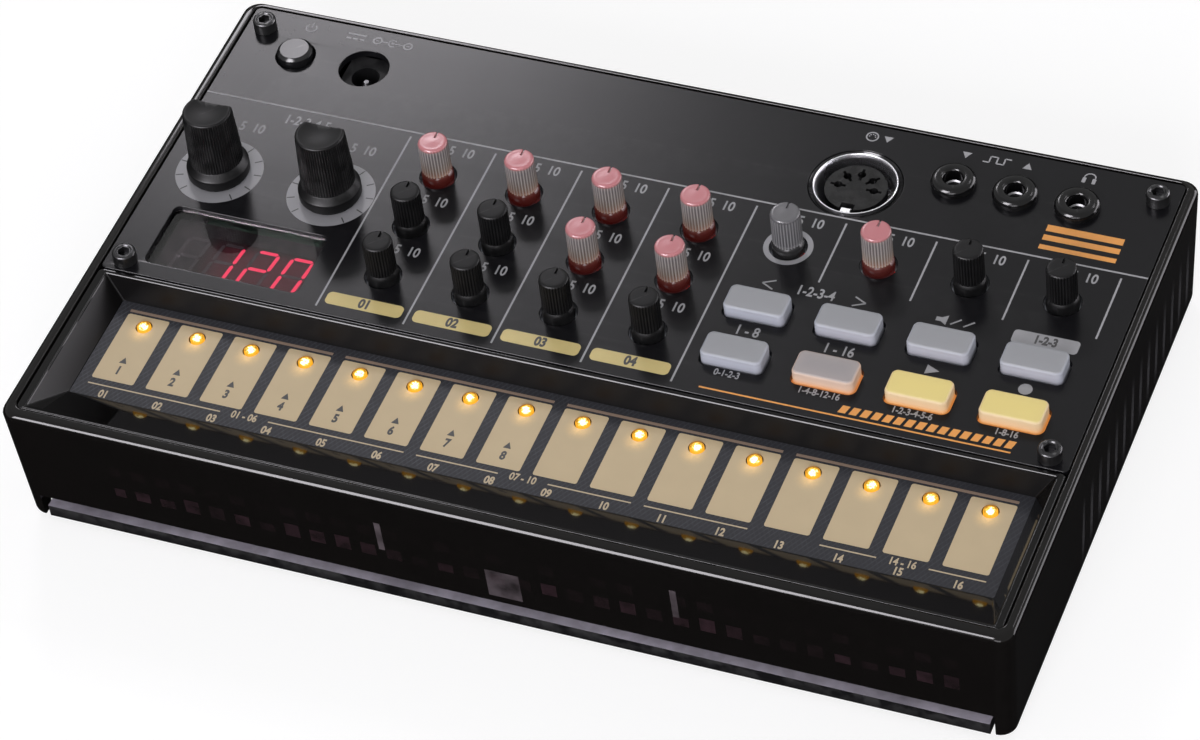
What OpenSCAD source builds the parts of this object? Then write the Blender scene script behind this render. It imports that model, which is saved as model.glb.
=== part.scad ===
// Table-top drum machine: a shallow moulded case with a sunken strip of sixteen
// touch pads along its front, a flat control panel with knobs, rubber keys and a
// four-digit display behind it, and sockets along the panel's rear edge.
// Millimetres. X runs to the right, Y to the rear, Z up. The origin is the centre
// of the footprint, on the surface that the four rubber feet stand on.

/* [Case] */
// Width of the case across its rim
case_w = 193; // [174:1:212]
// Depth of the case across its rim
case_d = 115; // [103:0.5:127]
// Height of the case from its lower edge to the rim
case_h = 27.5; // [27:0.5:34]
// Height of the rubber feet under the case
foot_h = 1.8; // [1.2:0.1:4]
// Radius of a rubber foot
foot_r = 4.5; // [3:0.5:5]
// Wall thickness at the rim, left and right
side_wall = 2.15; // [2.05:0.05:2.4]
// Wall thickness at the rim, front
front_wall = 2.55; // [2.25:0.05:2.7]
// Wall thickness at the rim, rear
rear_wall = 1.2; // [1:0.1:1.8]
// How far each wall leans in towards its lower edge
draft = 1; // [0.4:0.1:1.2]
// Radius of the upright corners
corner_r = 3; // [2.6:0.2:5]
// Radius of the rim's outer edge
edge_r = 0.8; // [0.3:0.1:1]
// Height of the slot under the front wall
slot_h = 5.6; // [4.4:0.2:7]
// Length of wall that stands beyond each end of the slot
slot_end = 4.1; // [3.6:0.1:8]
// Spacing of the stiffening ribs inside the walls
rib_pitch = 5; // [4:0.5:10]
// Thickness of a stiffening rib
rib_t = 1.2; // [0.8:0.1:1.6]
// How far a rib stands in from its wall
rib_d = 0.9; // [0.5:0.1:1]

/* [Base] */
// Thickness of the bottom cover
base_t = 2.4; // [2.2:0.1:2.8]
// Height of the bottom cover's front lip
lip_h = 2.8; // [2.2:0.1:3.6]
// Thickness of the battery bay's walls
bay_wall = 1.2; // [1:0.1:1.4]
// Radius of the posts that carry the control panel
post_r = 2.7; // [2.4:0.1:2.8]
// Radius of the posts that carry the boards
board_post_r = 1.9; // [1.6:0.1:2]
// Radius of the bosses on the case that the bottom cover is screwed to
boss_r = 2.5; // [2.2:0.1:2.6]

/* [Panel] */
// Thickness of the control panel
panel_t = 1.5; // [1.3:0.1:2]
// How far the panel lies below the rim
rim_step = 0.3; // [0.1:0.1:0.8]
// Gap round the panel and the key bezel
panel_gap = 0.25; // [0.15:0.05:0.4]
// Y of the line where the panel meets the key bezel
split_y = -17.7; // [-17.9:0.1:-17.6]
// Width of the shelf round the case that the panel and bezel rest on
shelf_w = 1; // [0.7:0.1:1.1]

/* [Key bed] */
// Depth of the touch plate below the panel
bed_depth = 5.2; // [4.8:0.1:5.4]
// Number of touch pads
pad_count = 16; // [8:1:16]
// Spacing of the touch pads
pad_pitch = 10.98; // [9:0.02:11]
// Y of the pads' front ends
pad_front_y = -39.7; // [-40.2:0.1:-39]
// Length of a pad
pad_len = 16.7; // [12:0.1:17]
// Visible plate in front of the pads
plate_front = 4.6; // [4:0.1:4.9]
// Visible plate behind the pads
plate_rear = 2.8; // [2:0.1:3]
// Visible plate beyond the outermost pad spaces
plate_side = 1.2; // [0.6:0.1:1.3]
// Thickness of the touch plate
plate_t = 1.2; // [0.8:0.1:1.3]
// How far the plate reaches under the bezel
plate_tuck = 1.2; // [0.8:0.1:1.5]
// Flat lip of the bezel in front of the front ramp
lip_front = 0.5; // [0.3:0.1:2]
// Flat lip of the bezel behind the rear ramp
lip_rear = 1; // [0.6:0.1:1.6]
// Flat lip of the bezel beyond the side ramps
lip_side = 1.6; // [1:0.1:2.4]
// Upright edge where the ramps meet the plate
ramp_edge = 0.3; // [0.2:0.1:0.6]
// Radius of a pad's lamp
led_r = 1.5; // [1:0.1:1.8]
// Distance from a pad's rear end to the middle of its lamp
led_inset = 2.5; // [2:0.1:4]
// How far a lamp's dome stands out of its pad
led_rise = 0.9; // [0:0.1:1.3]
// Height of the dome on a lamp
led_dome = 1.2; // [0.6:0.1:1.4]

/* [Small knobs] */
// X of the first column of knobs
col_x = -41.5; // [-43:0.5:-41]
// Spacing of the columns
col_pitch = 17.5; // [16.5:0.1:17.6]
// Y of the rear row of knobs
row_y = 21.6; // [21:0.1:22]
// Spacing of the rows of knobs
row_pitch = 13.5; // [12.5:0.1:13.8]
// Radius of a small knob
knob_r = 2.95; // [2.5:0.05:3]
// Height of a small knob above the panel
knob_h = 9.1; // [6:0.1:12]
// Radius of the smooth collar under the flutes
collar_r = 3.25; // [2.8:0.05:3.3]
// Height of the collar above the panel
collar_h = 1.9; // [1:0.1:3]
// Radius of the panel's holes for the small knobs
knob_hole_r = 3.5; // [3.4:0.05:4]
// Number of flutes round a small knob
flutes = 30; // [16:1:36]
// Depth of a flute
flute_d = 0.2; // [0.1:0.05:0.3]
// Radius of a control's shaft
shaft_r = 1.5; // [1:0.1:2]
// Radial clearance of a shaft in its bush
run_gap = 0.08; // [0.05:0.01:0.1]

/* [Large knobs] */
// Distance between the two large knobs
big_pitch = 23.2; // [16:0.2:23.6]
// X midway between the two large knobs
big_x = -71; // [-72:0.5:-70]
// Y of the large knobs
big_y = 11.7; // [11.4:0.1:14]
// Height of a large knob above the panel
big_h = 16; // [12:0.5:20]
// Radius of a large knob's skirt
skirt_r = 6; // [5.6:0.1:7]
// Height of the skirt's upright wall
skirt_h = 2.3; // [1.5:0.1:3]
// Radius of the grip at its foot
grip_r = 5.2; // [4.8:0.1:5.4]
// Radius of the grip at its top
grip_top_r = 4.7; // [4.3:0.1:4.8]
// Number of flutes round a large knob
big_flutes = 60; // [36:1:72]
// Distance from the axis to the flat face at the grip's top
flat_y = 2.2; // [1.5:0.1:3.5]
// Lean of the flat face from upright, in degrees
flat_lean = 20; // [10:1:25]

/* [Rubber keys] */
// Width of a rubber key
key_w = 11.7; // [9:0.1:12]
// Depth of a rubber key, front to rear
key_d = 6; // [5:0.1:6.6]
// Height of a rubber key above the panel
key_h = 2.6; // [2:0.1:4]
// Radius of a rubber key's upright corners
key_r = 1.2; // [0.9:0.1:1.6]
// Y of the rear row of rubber keys
key_row_y = 5.1; // [4.6:0.1:5.2]
// Spacing of the two rows of rubber keys
key_row_pitch = 12.2; // [11.6:0.1:12.3]
// Travel of a rubber key
key_travel = 0.7; // [0.4:0.1:0.8]
// Gap between a key and the edge of its hole
key_gap = 0.4; // [0.3:0.05:0.5]

/* [Power button] */
// X of the power button
power_x = -81.3; // [-82:0.1:-80.5]
// Y of the row of the power button and the jacks
socket_y = 45.2; // [44.5:0.1:46]
// Radius of the power button
power_r = 3.5; // [3:0.1:3.55]
// Height of the power button above the panel
power_h = 1.8; // [1.3:0.1:3]
// Travel of the power button
power_travel = 1.2; // [0.8:0.1:1.3]

/* [Sockets] */
// X of the supply inlet
dc_x = -66.8; // [-68:0.2:-65]
// Radius of the panel's hole over the supply inlet
dc_hole_r = 4.9; // [4:0.1:5.5]
// Radius of the supply inlet's barrel
dc_bore_r = 2.75; // [2.6:0.05:3]
// Radius of the supply inlet's centre pin
dc_pin_r = 1; // [0.8:0.05:1.1]
// X of the five-pin round socket
din_x = 35.1; // [33:0.5:37]
// Y of the five-pin round socket
din_y = 40.4; // [40.2:0.1:41.5]
// Outer radius of the round socket's metal shell
din_r = 8; // [7.7:0.1:8.2]
// Radius of the round socket's insulating block
din_core_r = 5.9; // [5.6:0.1:6.2]
// X of the first small jack
jack_x = 52.6; // [52:0.2:54]
// Spacing of the small jacks
jack_pitch = 11.9; // [11:0.1:12.2]
// Bore radius of a small jack
jack_bore_r = 1.8; // [1.7:0.05:2]
// Radius of a small jack's rounded bush
jack_r = 4.3; // [4:0.1:4.8]
// Height of that bush above the panel
jack_h = 1.9; // [1.4:0.1:2.6]

/* [Display] */
// X of the display's middle
disp_x = -71.1; // [-71.5:0.1:-70.5]
// Y of the display's middle
disp_y = -6.5; // [-6.7:0.1:-6.2]
// Width of the display's opening
disp_w = 31.6; // [28:0.2:32]
// Depth of the display's opening, front to rear
disp_d = 15.2; // [14.4:0.1:15.6]
// How far the display's window lies below the panel
disp_sink = 0.9; // [0.5:0.1:1.1]
// Thickness of the display's window
window_t = 1.5; // [1:0.1:1.8]
// Air between the window and the face of the digits
digit_gap = 1; // [0.4:0.1:1.6]

/* [Batteries] */
// Radius of a battery cell
cell_r = 7.1; // [6.9:0.05:7.2]
// Case width beyond the row of cells: springs, bay walls and posts
cell_margin = 30; // [28:1:34]
// Length of a battery cell
cell_len = 50.4; // [49:0.1:50.6]
// Y of the battery bay's middle
bay_y = -8; // [-8.4:0.1:-7.6]

/* [Fasteners] */
// Distance of the panel screws from the case's sides
screw_in_x = 6.4; // [6:0.1:6.6]
// Y of the rear panel screws
screw_rear_y = 50.8; // [50:0.1:51.2]
// Y of the front panel screws
screw_front_y = -14.9; // [-15:0.1:-14]
// Radius of a panel screw's head
head_r = 2.25; // [1.9:0.05:2.5]
// Height of a panel screw's head
head_h = 2.6; // [2:0.1:3]
// Radius of a panel screw's shank
shank_r = 1.2; // [1:0.05:1.25]

/* [Hidden] */
$fn = 64;
hull_fn = 32;
eps = 0.01;
fit = 0.3;
slack = 0.1;
// places on the face are drawn for a case of this size, and move as the case is resized
drawn_w = 193;
drawn_d = 115;
move_x = case_w / drawn_w;
move_y = case_d / drawn_d;

rim_z = foot_h + case_h;
panel_z = rim_z - rim_step;
under_z = panel_z - panel_t;
in_x = case_w / 2 - side_wall;
in_front = -case_d / 2 + front_wall;
in_rear = case_d / 2 - rear_wall;
wall_x = in_x - shelf_w;
wall_front = in_front + shelf_w;
wall_rear = in_rear - shelf_w;
cavity_r = 2;
shelf_in = shelf_w + 0.3;
boss_in = 4;
boss_h = 12;
boss_x = wall_x - boss_in;
boss_y = 42 * move_y;
boss_bore_r = 1.25;

base_z = foot_h + base_t;
lip_face_y = -case_d / 2 + draft + slack;
lip_x = case_w / 2 - slot_end - 1;
foot_x = in_x - 7;
foot_y = case_d / 2 - 8;

bed_z = panel_z - bed_depth;
face_split = split_y * move_y;
pad_step = pad_pitch * move_x;
pads_y0 = pad_front_y * move_y;
pads_y1 = pads_y0 + pad_len * move_y;
led_y = pads_y1 - led_inset;
plate_half = pad_count * pad_step / 2 + plate_side;
plate_y0 = pads_y0 - plate_front * move_y;
plate_y1 = pads_y1 + plate_rear * move_y;
bezel_x = in_x - panel_gap;
bezel_front = in_front + panel_gap;
bezel_rear = face_split - panel_gap / 2;
ramp_side = bezel_x - lip_side - plate_half;
ramp_front = plate_y0 - bezel_front - lip_front;
ramp_rear = bezel_rear - lip_rear - plate_y1;
plate_under = bed_z - plate_t;
bezel_wall = 1.2;

POWER = [power_x * move_x, socket_y * move_y];
DC = [dc_x * move_x, socket_y * move_y];
DIN = [din_x * move_x, din_y * move_y];
DISPLAY = [disp_x * move_x, disp_y * move_y];
FRONT_SCREW_Y = screw_front_y * move_y;
REAR_SCREW_Y = screw_rear_y * move_y;
screw_x = case_w / 2 - screw_in_x;
insert_r = 1.65;
insert_len = 5;
bolt_gap = 0.2;

pot_w = 9.5;
bush_depth = 2;
pot_top = under_z - bush_depth / 4;
collar_low = under_z + fit;
key_flange = 0.8;
flange_grow = key_gap + 0.5;
key_low = under_z - fit - key_flange;
switch_w = 6;
switch_top = key_low - key_travel - slack;
module_w = 30;
module_d = 14;
disp_lip = 0.8;
disp_r = 1.5;

cell_pitch = cell_len + slack / 2;
cells_in_line = floor((case_w - cell_margin) / cell_len);
spring_len = 5;
bay_in_x = cells_in_line * cell_pitch / 2 + spring_len;
bay_in_y = 2 * cell_r + 1.4;
bay_mid_y = bay_y * move_y;
bay_y0 = bay_mid_y - bay_in_y;
bay_y1 = bay_mid_y + bay_in_y;
bay_floor_t = 0.8;
bay_low = base_z - bay_floor_t;
cell_z = bay_low + slack + cell_r;
bay_top = cell_z + cell_r + fit;
cover_lap = 1.9;
cover_t = base_t - bay_floor_t - fit;
hinge_r = cover_t / 2;
hinge_y = bay_y0 - cover_lap + fit + hinge_r;
hinge_z = foot_h + hinge_r;
hook_x = bay_in_x * 0.62;
hook_w = 8;
speaker_r = 14;
speaker_h = 6.4;
speaker_x = 60 * move_x;
speaker_y = bay_y1 + bay_wall + speaker_r + 1.2;

board_t = 1.6;
board_lift = 18.6;
board_z = foot_h + board_lift;
board_top = board_z + board_t;
board_screw_r = 0.85;
board_head_r = 1.6;
board_head_h = 0.6;
board_x = case_w / 2 - 10.2;
board_post_x = board_x - 2;
touch_front = wall_front + 3;
touch_rear = face_split - 0.6;
board_front = face_split + 1.2;
rear_post_y = row_y * move_y + pot_w / 2 + 1.85;
board_rear = rear_post_y + 2.4;
left_post_y = (DISPLAY[1] + module_d / 2 + big_y * move_y - pot_w / 2) / 2;
right_post_y = (key_row_y - key_row_pitch / 2) * move_y;
TOUCH_POST_Y = [touch_front + 2.5, bay_y0 - bay_wall - 5.2];
BOARD_POSTS = concat([for (x = [-board_post_x, board_post_x], y = TOUCH_POST_Y) [x, y]],
                     [[-board_post_x, left_post_y], [board_post_x, right_post_y]],
                     [for (x = [-board_post_x, board_post_x]) [x, rear_post_y]]);
io_lift = 9.2;
io_z = foot_h + io_lift;
io_top = io_z + board_t;
io_front = 33 * move_y;
io_rear = wall_rear - 0.7;
IO_POST_Y = [io_front + 3, io_rear - 3];
io_post_x = board_x - 5;

jack_body_w = 9;
jack_body_d = 11;
jack_neck_r = 3.1;
socket_floor = 3.9;
socket_z = io_top + socket_floor;
dc_sink = 2.5;
dc_face = panel_z - dc_sink;
dc_body_w = 9.2;
din_block_w = 19;
din_block_front = 7.1;
din_block_h = 5;
din_z = io_top + din_block_h;
din_shell_t = 0.7;
din_gap_r = 0.95;
din_sink = 1;
din_pin_ring = 3.5;
din_pin_r = 0.8;
power_switch_w = 8;
power_switch_h = 7.9;
power_foot_z = io_top + power_switch_h - power_travel - slack * 3;

SMALL_KNOBS = [[0, 0], [0, 1], [0, 2], [1, 0], [1, 1], [1, 2], [2, 0], [2, 1], [2, 2],
               [3, 0], [3, 1], [3, 2], [4, 0], [5, 0], [6, 0], [7, 0]];
LIT_KNOBS = [[0, 0], [1, 0], [2, 0], [2, 1], [3, 0], [3, 1], [4, 0], [5, 0]];
KEYS = [[4, 0], [5, 0], [6, 0], [7, 0], [4, 1], [5, 1], [6, 1], [7, 1]];

function knob_at(c) = [(col_x + c[0] * col_pitch) * move_x, (row_y - c[1] * row_pitch) * move_y];
function key_at(c) = [(col_x + c[0] * col_pitch) * move_x, (key_row_y - c[1] * key_row_pitch) * move_y];
function big_at(side) = [(big_x + side * big_pitch / 2) * move_x, big_y * move_y];
function pad_x(i) = (i - (pad_count - 1) / 2) * pad_step;
function jack_at(i) = [(jack_x + i * jack_pitch) * move_x, socket_y * move_y];
function star(r, n, depth) = [
    for (i = [0 : 2 * n - 1])
        let (a = 180 * i / n, q = r - (i % 2) * depth) [q * cos(a), q * sin(a)]
];

// A rectangle from corner a to corner b with round corners of radius r
module rounded(a, b, r) {
    translate([a[0] + r, a[1]]) square([b[0] - a[0] - 2 * r, b[1] - a[1]]);
    translate([a[0], a[1] + r]) square([b[0] - a[0], b[1] - a[1] - 2 * r]);
    for (x = [a[0] + r, b[0] - r], y = [a[1] + r, b[1] - r]) translate([x, y]) circle(r);
}

module rounded_block(a, b, z0, z1, r) {
    translate([0, 0, z0]) linear_extrude(z1 - z0) rounded(a, b, r);
}

module block(a, b, z0, z1) {
    translate([a[0], a[1], z0]) cube([b[0] - a[0], b[1] - a[1], z1 - z0]);
}

// One thin layer of the case's outline, set in by a distance
module case_layer(z, inset, r) {
    translate([0, 0, z])
        linear_extrude(eps)
            rounded([-case_w / 2 + inset, -case_d / 2 + inset],
                    [case_w / 2 - inset, case_d / 2 - inset], r, $fn = hull_fn);
}

module at_screws() {
    for (x = [-screw_x, screw_x], y = [FRONT_SCREW_Y, REAR_SCREW_Y]) translate([x, y, 0]) children();
}

// ---- Case ----

module case_outside() {
    hull() {
        case_layer(foot_h, draft + edge_r / 2, corner_r);
        case_layer(foot_h + edge_r, draft, corner_r);
        case_layer(rim_z - edge_r, 0, corner_r);
        case_layer(rim_z - edge_r / 3, edge_r / 3, corner_r);
        case_layer(rim_z - eps, edge_r, corner_r);
    }
}

module case_cavity(z0, z1, inset) {
    rounded_block([-in_x + inset, in_front + inset], [in_x - inset, in_rear - inset], z0, z1, cavity_r);
}

// Upright ribs that stiffen the front and side walls, clear of the posts and bosses
module case_ribs() {
    z0 = foot_h + slot_h + 1;
    rib_h = plate_under - 1 - z0;
    half = floor((wall_x - 8) / rib_pitch);
    for (i = [-half : half])
        translate([i * rib_pitch - rib_t / 2, wall_front - 0.5, z0]) cube([rib_t, rib_d + 0.5, rib_h]);
    for (side = [-1, 1], i = [-half : half]) {
        y = i * rib_pitch;
        post_gap = min(abs(y - FRONT_SCREW_Y), abs(y - REAR_SCREW_Y)) - post_r;
        boss_gap = abs(abs(y) - boss_y) - boss_r;
        if (min(post_gap, boss_gap) > rib_t && y > wall_front + 5 && y < wall_rear - 5)
            translate([side * (wall_x - rib_d / 2 + 0.25), y, z0 + rib_h / 2])
                cube([rib_d + 0.5, rib_t, rib_h], center = true);
    }
}

// Screw bosses in the side walls, each tied to its wall by a web
module case_bosses() {
    for (side = [-1, 1], y = [-boss_y, boss_y])
        translate([side * boss_x, y, base_z + slack])
            difference() {
                union() {
                    cylinder(r = boss_r, h = boss_h);
                    translate([side * boss_in / 2, 0, boss_h / 2])
                        cube([boss_in + 0.4, 2, boss_h], center = true);
                }
                translate([0, 0, -1]) cylinder(r = boss_bore_r, h = boss_h - 1);
            }
}

module case_frame() {
    color([0.1, 0.09, 0.1, 0.8]) {
        difference() {
            case_outside();
            case_cavity(foot_h - 1, under_z + 1, shelf_w);
            case_cavity(under_z, rim_z + 1, 0);
            block([-case_w / 2 + slot_end, -case_d / 2 - 1], [case_w / 2 - slot_end, wall_front + 1],
                  foot_h - 1, foot_h + slot_h);
        }
        case_ribs();
        case_bosses();
    }
}

module bay_outline(grow, z0, z1) {
    block([-bay_in_x - grow, bay_y0 - grow], [bay_in_x + grow, bay_y1 + grow], z0, z1);
}

module at_board_posts() {
    for (p = BOARD_POSTS) translate([p[0], p[1], 0]) children();
}

module base_posts() {
    at_screws() translate([0, 0, base_z - eps]) cylinder(r = post_r, h = under_z - base_z + eps);
    at_board_posts() translate([0, 0, base_z - eps]) cylinder(r = board_post_r, h = board_z - base_z + eps);
    for (x = [-io_post_x, 0, io_post_x], y = IO_POST_Y)
        translate([x, y, base_z - eps]) cylinder(r = board_post_r, h = io_z - base_z + eps);
}

module speaker_slots() {
    slot_w = 1.6;
    for (i = [-3 : 3]) {
        reach = sqrt(pow(speaker_r - 3, 2) - pow(i * 3, 2));
        rounded_block([speaker_x - reach, speaker_y + i * 3 - slot_w / 2],
                      [speaker_x + reach, speaker_y + i * 3 + slot_w / 2],
                      foot_h - 1, base_z + 1, slot_w / 2 - eps);
    }
}

module bottom_cover() {
    lip_depth = wall_front + fit + 1;
    color([0.12, 0.12, 0.13])
        difference() {
            union() {
                rounded_block([-wall_x + fit, wall_front + fit], [wall_x - fit, wall_rear - fit],
                              foot_h, base_z, cavity_r);
                block([-lip_x, lip_face_y], [lip_x, lip_depth], foot_h + slack, foot_h + lip_h);
                bay_outline(bay_wall, base_z - eps, bay_top + bay_wall);
                base_posts();
            }
            bay_outline(0, foot_h - 1, bay_top);
            bay_outline(cover_lap, foot_h - 1, bay_low);
            hook_windows();
            speaker_slots();
            at_screws() {
                translate([0, 0, under_z - insert_len - 4]) cylinder(r = shank_r + bolt_gap, h = 10);
                translate([0, 0, under_z - insert_len]) cylinder(r = insert_r + 0.05, h = 10);
            }
            at_board_posts() translate([0, 0, board_z - 6]) cylinder(r = board_screw_r + slack / 2, h = 10);
            at_bosses() {
                translate([0, 0, foot_h - 1]) cylinder(r = 1.4, h = 8);
                translate([0, 0, foot_h - 1]) cylinder(r = 2.5, h = 2.1);
            }
        }
}

module at_bosses() {
    for (x = [-boss_x, boss_x], y = [-boss_y, boss_y]) translate([x, y, 0]) children();
}

// Windows at the foot of the bay's front wall that the cover's hooks reach through
module hook_windows() {
    for (side = [-1, 1])
        block([side * hook_x - hook_w / 2 - 0.5, hinge_y - hinge_r - 3.6],
              [side * hook_x + hook_w / 2 + 0.5, bay_y0 + 1], base_z, base_z + 3);
    for (side = [-1, 1])
        block([side * hook_x - hook_w / 2 - 0.5, hinge_y - hinge_r - fit],
              [side * hook_x + hook_w / 2 + 0.5, bay_y0 + 1], bay_low - 1, base_z + 1);
}

module base_screws() {
    color([0.6, 0.6, 0.62])
        at_bosses() {
            translate([0, 0, foot_h + slack]) cylinder(r = 2.3, h = 1);
            translate([0, 0, foot_h + 1]) cylinder(r = 1.2, h = 8);
        }
}

module rubber_feet() {
    color([0.05, 0.05, 0.05])
        for (x = [-1, 1], y = [-1, 1])
            translate([x * foot_x, y * foot_y, 0]) {
                cylinder(r1 = foot_r - 0.4, r2 = foot_r, h = 0.4);
                translate([0, 0, 0.4]) cylinder(r = foot_r, h = foot_h - 0.4);
            }
}

// Plate that closes the battery bay. Two hooks at its front edge reach over the
// bottom cover's floor, and the plate tilts down about that rounded edge.
module battery_cover() {
    lap = cover_lap - fit;
    web_t = 1.2;
    hook_z = base_z + fit;
    rib_step = bay_in_x / 5;
    color([0.13, 0.13, 0.14])
        difference() {
            union() {
                block([-bay_in_x - lap, hinge_y], [bay_in_x + lap, bay_y1 + lap],
                      foot_h, foot_h + cover_t);
                translate([0, hinge_y, hinge_z]) rotate([0, 90, 0])
                    cylinder(r = hinge_r, h = 2 * (bay_in_x + lap), center = true);
                for (side = [-1, 1]) {
                    x = side * hook_x;
                    block([x - hook_w / 2, hinge_y - 0.3], [x + hook_w / 2, hinge_y - 0.3 + web_t],
                          hinge_z, hook_z + 1);
                    block([x - hook_w / 2, hinge_y - 2.6], [x + hook_w / 2, hinge_y], hook_z, hook_z + 1);
                }
                for (i = [-4 : 4])
                    block([i * rib_step - 0.6, bay_mid_y - cell_r], [i * rib_step + 0.6, bay_mid_y + cell_r],
                          foot_h + cover_t - eps, bay_low);
            }
            // thumb grips by the catch at the rear edge
            for (i = [-2 : 2])
                block([-9, bay_y1 - 7 + i * 1.8], [9, bay_y1 - 6.2 + i * 1.8],
                      foot_h - 1, foot_h + 0.4);
        }
}

// ---- Control panel ----

module display_hole(grow, z0, z1, r) {
    rounded_block([DISPLAY[0] - disp_w / 2 - grow, DISPLAY[1] - disp_d / 2 - grow],
                  [DISPLAY[0] + disp_w / 2 + grow, DISPLAY[1] + disp_d / 2 + grow], z0, z1, r);
}

module key_outline(c, grow, z0, z1) {
    p = key_at(c);
    rounded_block([p[0] - key_w / 2 - grow, p[1] - key_d / 2 - grow],
                  [p[0] + key_w / 2 + grow, p[1] + key_d / 2 + grow], z0, z1, key_r + grow);
}

module panel_hole(p, r) {
    translate([p[0], p[1], under_z - 1]) cylinder(r = r, h = panel_t + 2);
}

module control_panel() {
    color([0.2, 0.2, 0.21])
        difference() {
            rounded_block([-bezel_x, face_split + panel_gap / 2], [bezel_x, in_rear - panel_gap],
                          under_z, panel_z, 1);
            for (c = SMALL_KNOBS) panel_hole(knob_at(c), knob_hole_r);
            for (side = [-1, 1]) panel_hole(big_at(side), knob_hole_r);
            for (c = KEYS) key_outline(c, key_gap, under_z - 1, panel_z + 1);
            for (i = [0 : 2]) panel_hole(jack_at(i), jack_neck_r + bolt_gap);
            panel_hole(POWER, power_r + 0.4);
            panel_hole(DC, dc_hole_r);
            panel_hole(DIN, din_r + din_gap_r);
            at_screws() translate([0, 0, under_z - 1]) cylinder(r = shank_r + bolt_gap, h = panel_t + 2);
            display_hole(0, under_z - 1, panel_z + 1, disp_r);
            display_hole(disp_lip, under_z - 1, panel_z - disp_sink, disp_r + disp_lip / 2);
        }
}

module panel_screws() {
    hex_r = 1.15;
    color([0.1, 0.1, 0.1])
        at_screws() {
            difference() {
                union() {
                    translate([0, 0, panel_z]) cylinder(r = head_r, h = head_h - 0.3);
                    translate([0, 0, panel_z + head_h - 0.3])
                        cylinder(r1 = head_r, r2 = head_r - 0.3, h = 0.3);
                }
                translate([0, 0, panel_z + head_h - 1.3]) cylinder(r = hex_r, h = 2, $fn = 6);
            }
            translate([0, 0, under_z - insert_len]) cylinder(r = shank_r, h = insert_len + panel_t);
        }
}

module screw_inserts() {
    color([0.8, 0.65, 0.3])
        at_screws() translate([0, 0, under_z - insert_len])
            difference() {
                cylinder(r = insert_r, h = insert_len);
                translate([0, 0, -1]) cylinder(r = shank_r + 0.05, h = insert_len + 2);
            }
}

module display_window() {
    color([0.25, 0.1, 0.12, 0.6])
        display_hole(disp_lip - 0.2, panel_z - disp_sink - window_t, panel_z - disp_sink,
                     disp_r + disp_lip / 2 - slack);
}

module display_module() {
    color([0.1, 0.1, 0.1])
        block([DISPLAY[0] - module_w / 2, DISPLAY[1] - module_d / 2],
              [DISPLAY[0] + module_w / 2, DISPLAY[1] + module_d / 2], board_top,
              panel_z - disp_sink - window_t - digit_gap);
}

// ---- Key bed ----

// The space over the touch plate: four mitred ramps that open upwards
module bed_space() {
    top = panel_z + 1;
    rise = panel_z - bed_z - ramp_edge;
    grow = 1 + 1 / rise;
    z1 = bed_z + ramp_edge;
    intersection() {
        rotate([90, 0, 0])
            linear_extrude(2 * case_d, center = true)
                polygon([[-plate_half, bed_z - 1], [-plate_half, z1], [-plate_half - ramp_side * grow, top],
                         [plate_half + ramp_side * grow, top], [plate_half, z1], [plate_half, bed_z - 1]]);
        rotate([90, 0, 90])
            linear_extrude(2 * case_w, center = true)
                polygon([[plate_y0, bed_z - 1], [plate_y0, z1], [plate_y0 - ramp_front * grow, top],
                         [plate_y1 + ramp_rear * grow, top], [plate_y1, z1], [plate_y1, bed_z - 1]]);
    }
}

module key_bezel() {
    hollow_x = bezel_x - shelf_in - bezel_wall;
    color([0.03, 0.03, 0.03])
        difference() {
            union() {
                rounded_block([-bezel_x, bezel_front], [bezel_x, bezel_rear], under_z, panel_z, 1);
                block([-bezel_x + shelf_in, bezel_front + shelf_in], [bezel_x - shelf_in, bezel_rear - 0.3],
                      plate_under, under_z + eps);
            }
            bed_space();
            // seat of the touch plate
            block([-plate_half - plate_tuck - slack, plate_y0 - plate_tuck - slack],
                  [plate_half + plate_tuck + slack, plate_y1 + 0.4], plate_under - 1, bed_z);
            // hollow under the front ramp
            rotate([90, 0, 90])
                linear_extrude(2 * hollow_x, center = true)
                    polygon([[bezel_front + shelf_in + bezel_wall, plate_under - 1],
                             [plate_y0 - plate_tuck - bezel_wall, plate_under - 1],
                             [plate_y0 - plate_tuck - bezel_wall, bed_z - 0.4],
                             [bezel_front + shelf_in + bezel_wall, under_z - 1]]);
        }
}

module touch_plate() {
    color([0.2, 0.22, 0.25])
        difference() {
            block([-plate_half - plate_tuck, plate_y0 - plate_tuck],
                  [plate_half + plate_tuck, plate_y1 + 0.3], plate_under, bed_z);
            for (i = [0 : pad_count - 1])
                translate([pad_x(i), led_y, plate_under - 1]) cylinder(r = led_r + 0.1, h = plate_t + 2);
            at_board_posts() translate([0, 0, board_top])
                cylinder(r = board_head_r + slack, h = board_head_h + slack);
        }
}

module key_leds() {
    tip = bed_z + led_rise - board_top;
    r = led_r - 0.05;
    color([1, 0.65, 0.1])
        for (i = [0 : pad_count - 1])
            translate([pad_x(i), led_y, board_top])
                rotate_extrude()
                    polygon(concat([[0, 0], [r, 0]],
                                   [for (a = [0 : 15 : 75]) [r * cos(a), tip - led_dome * (1 - sin(a))]],
                                   [[0, tip]]));
}

// ---- Boards and what stands on them ----

module board(front, rear, z) {
    color([0.05, 0.3, 0.15])
        difference() {
            block([-board_x, front], [board_x, rear], z, z + board_t);
            at_board_posts() translate([0, 0, board_z - 1])
                cylinder(r = board_screw_r + slack / 2, h = board_t + 2);
        }
}

module touch_board() { board(touch_front, touch_rear, board_z); }
module main_board() { board(board_front, board_rear, board_z); }

module io_board() {
    board(io_front, io_rear, io_z);
}

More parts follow.
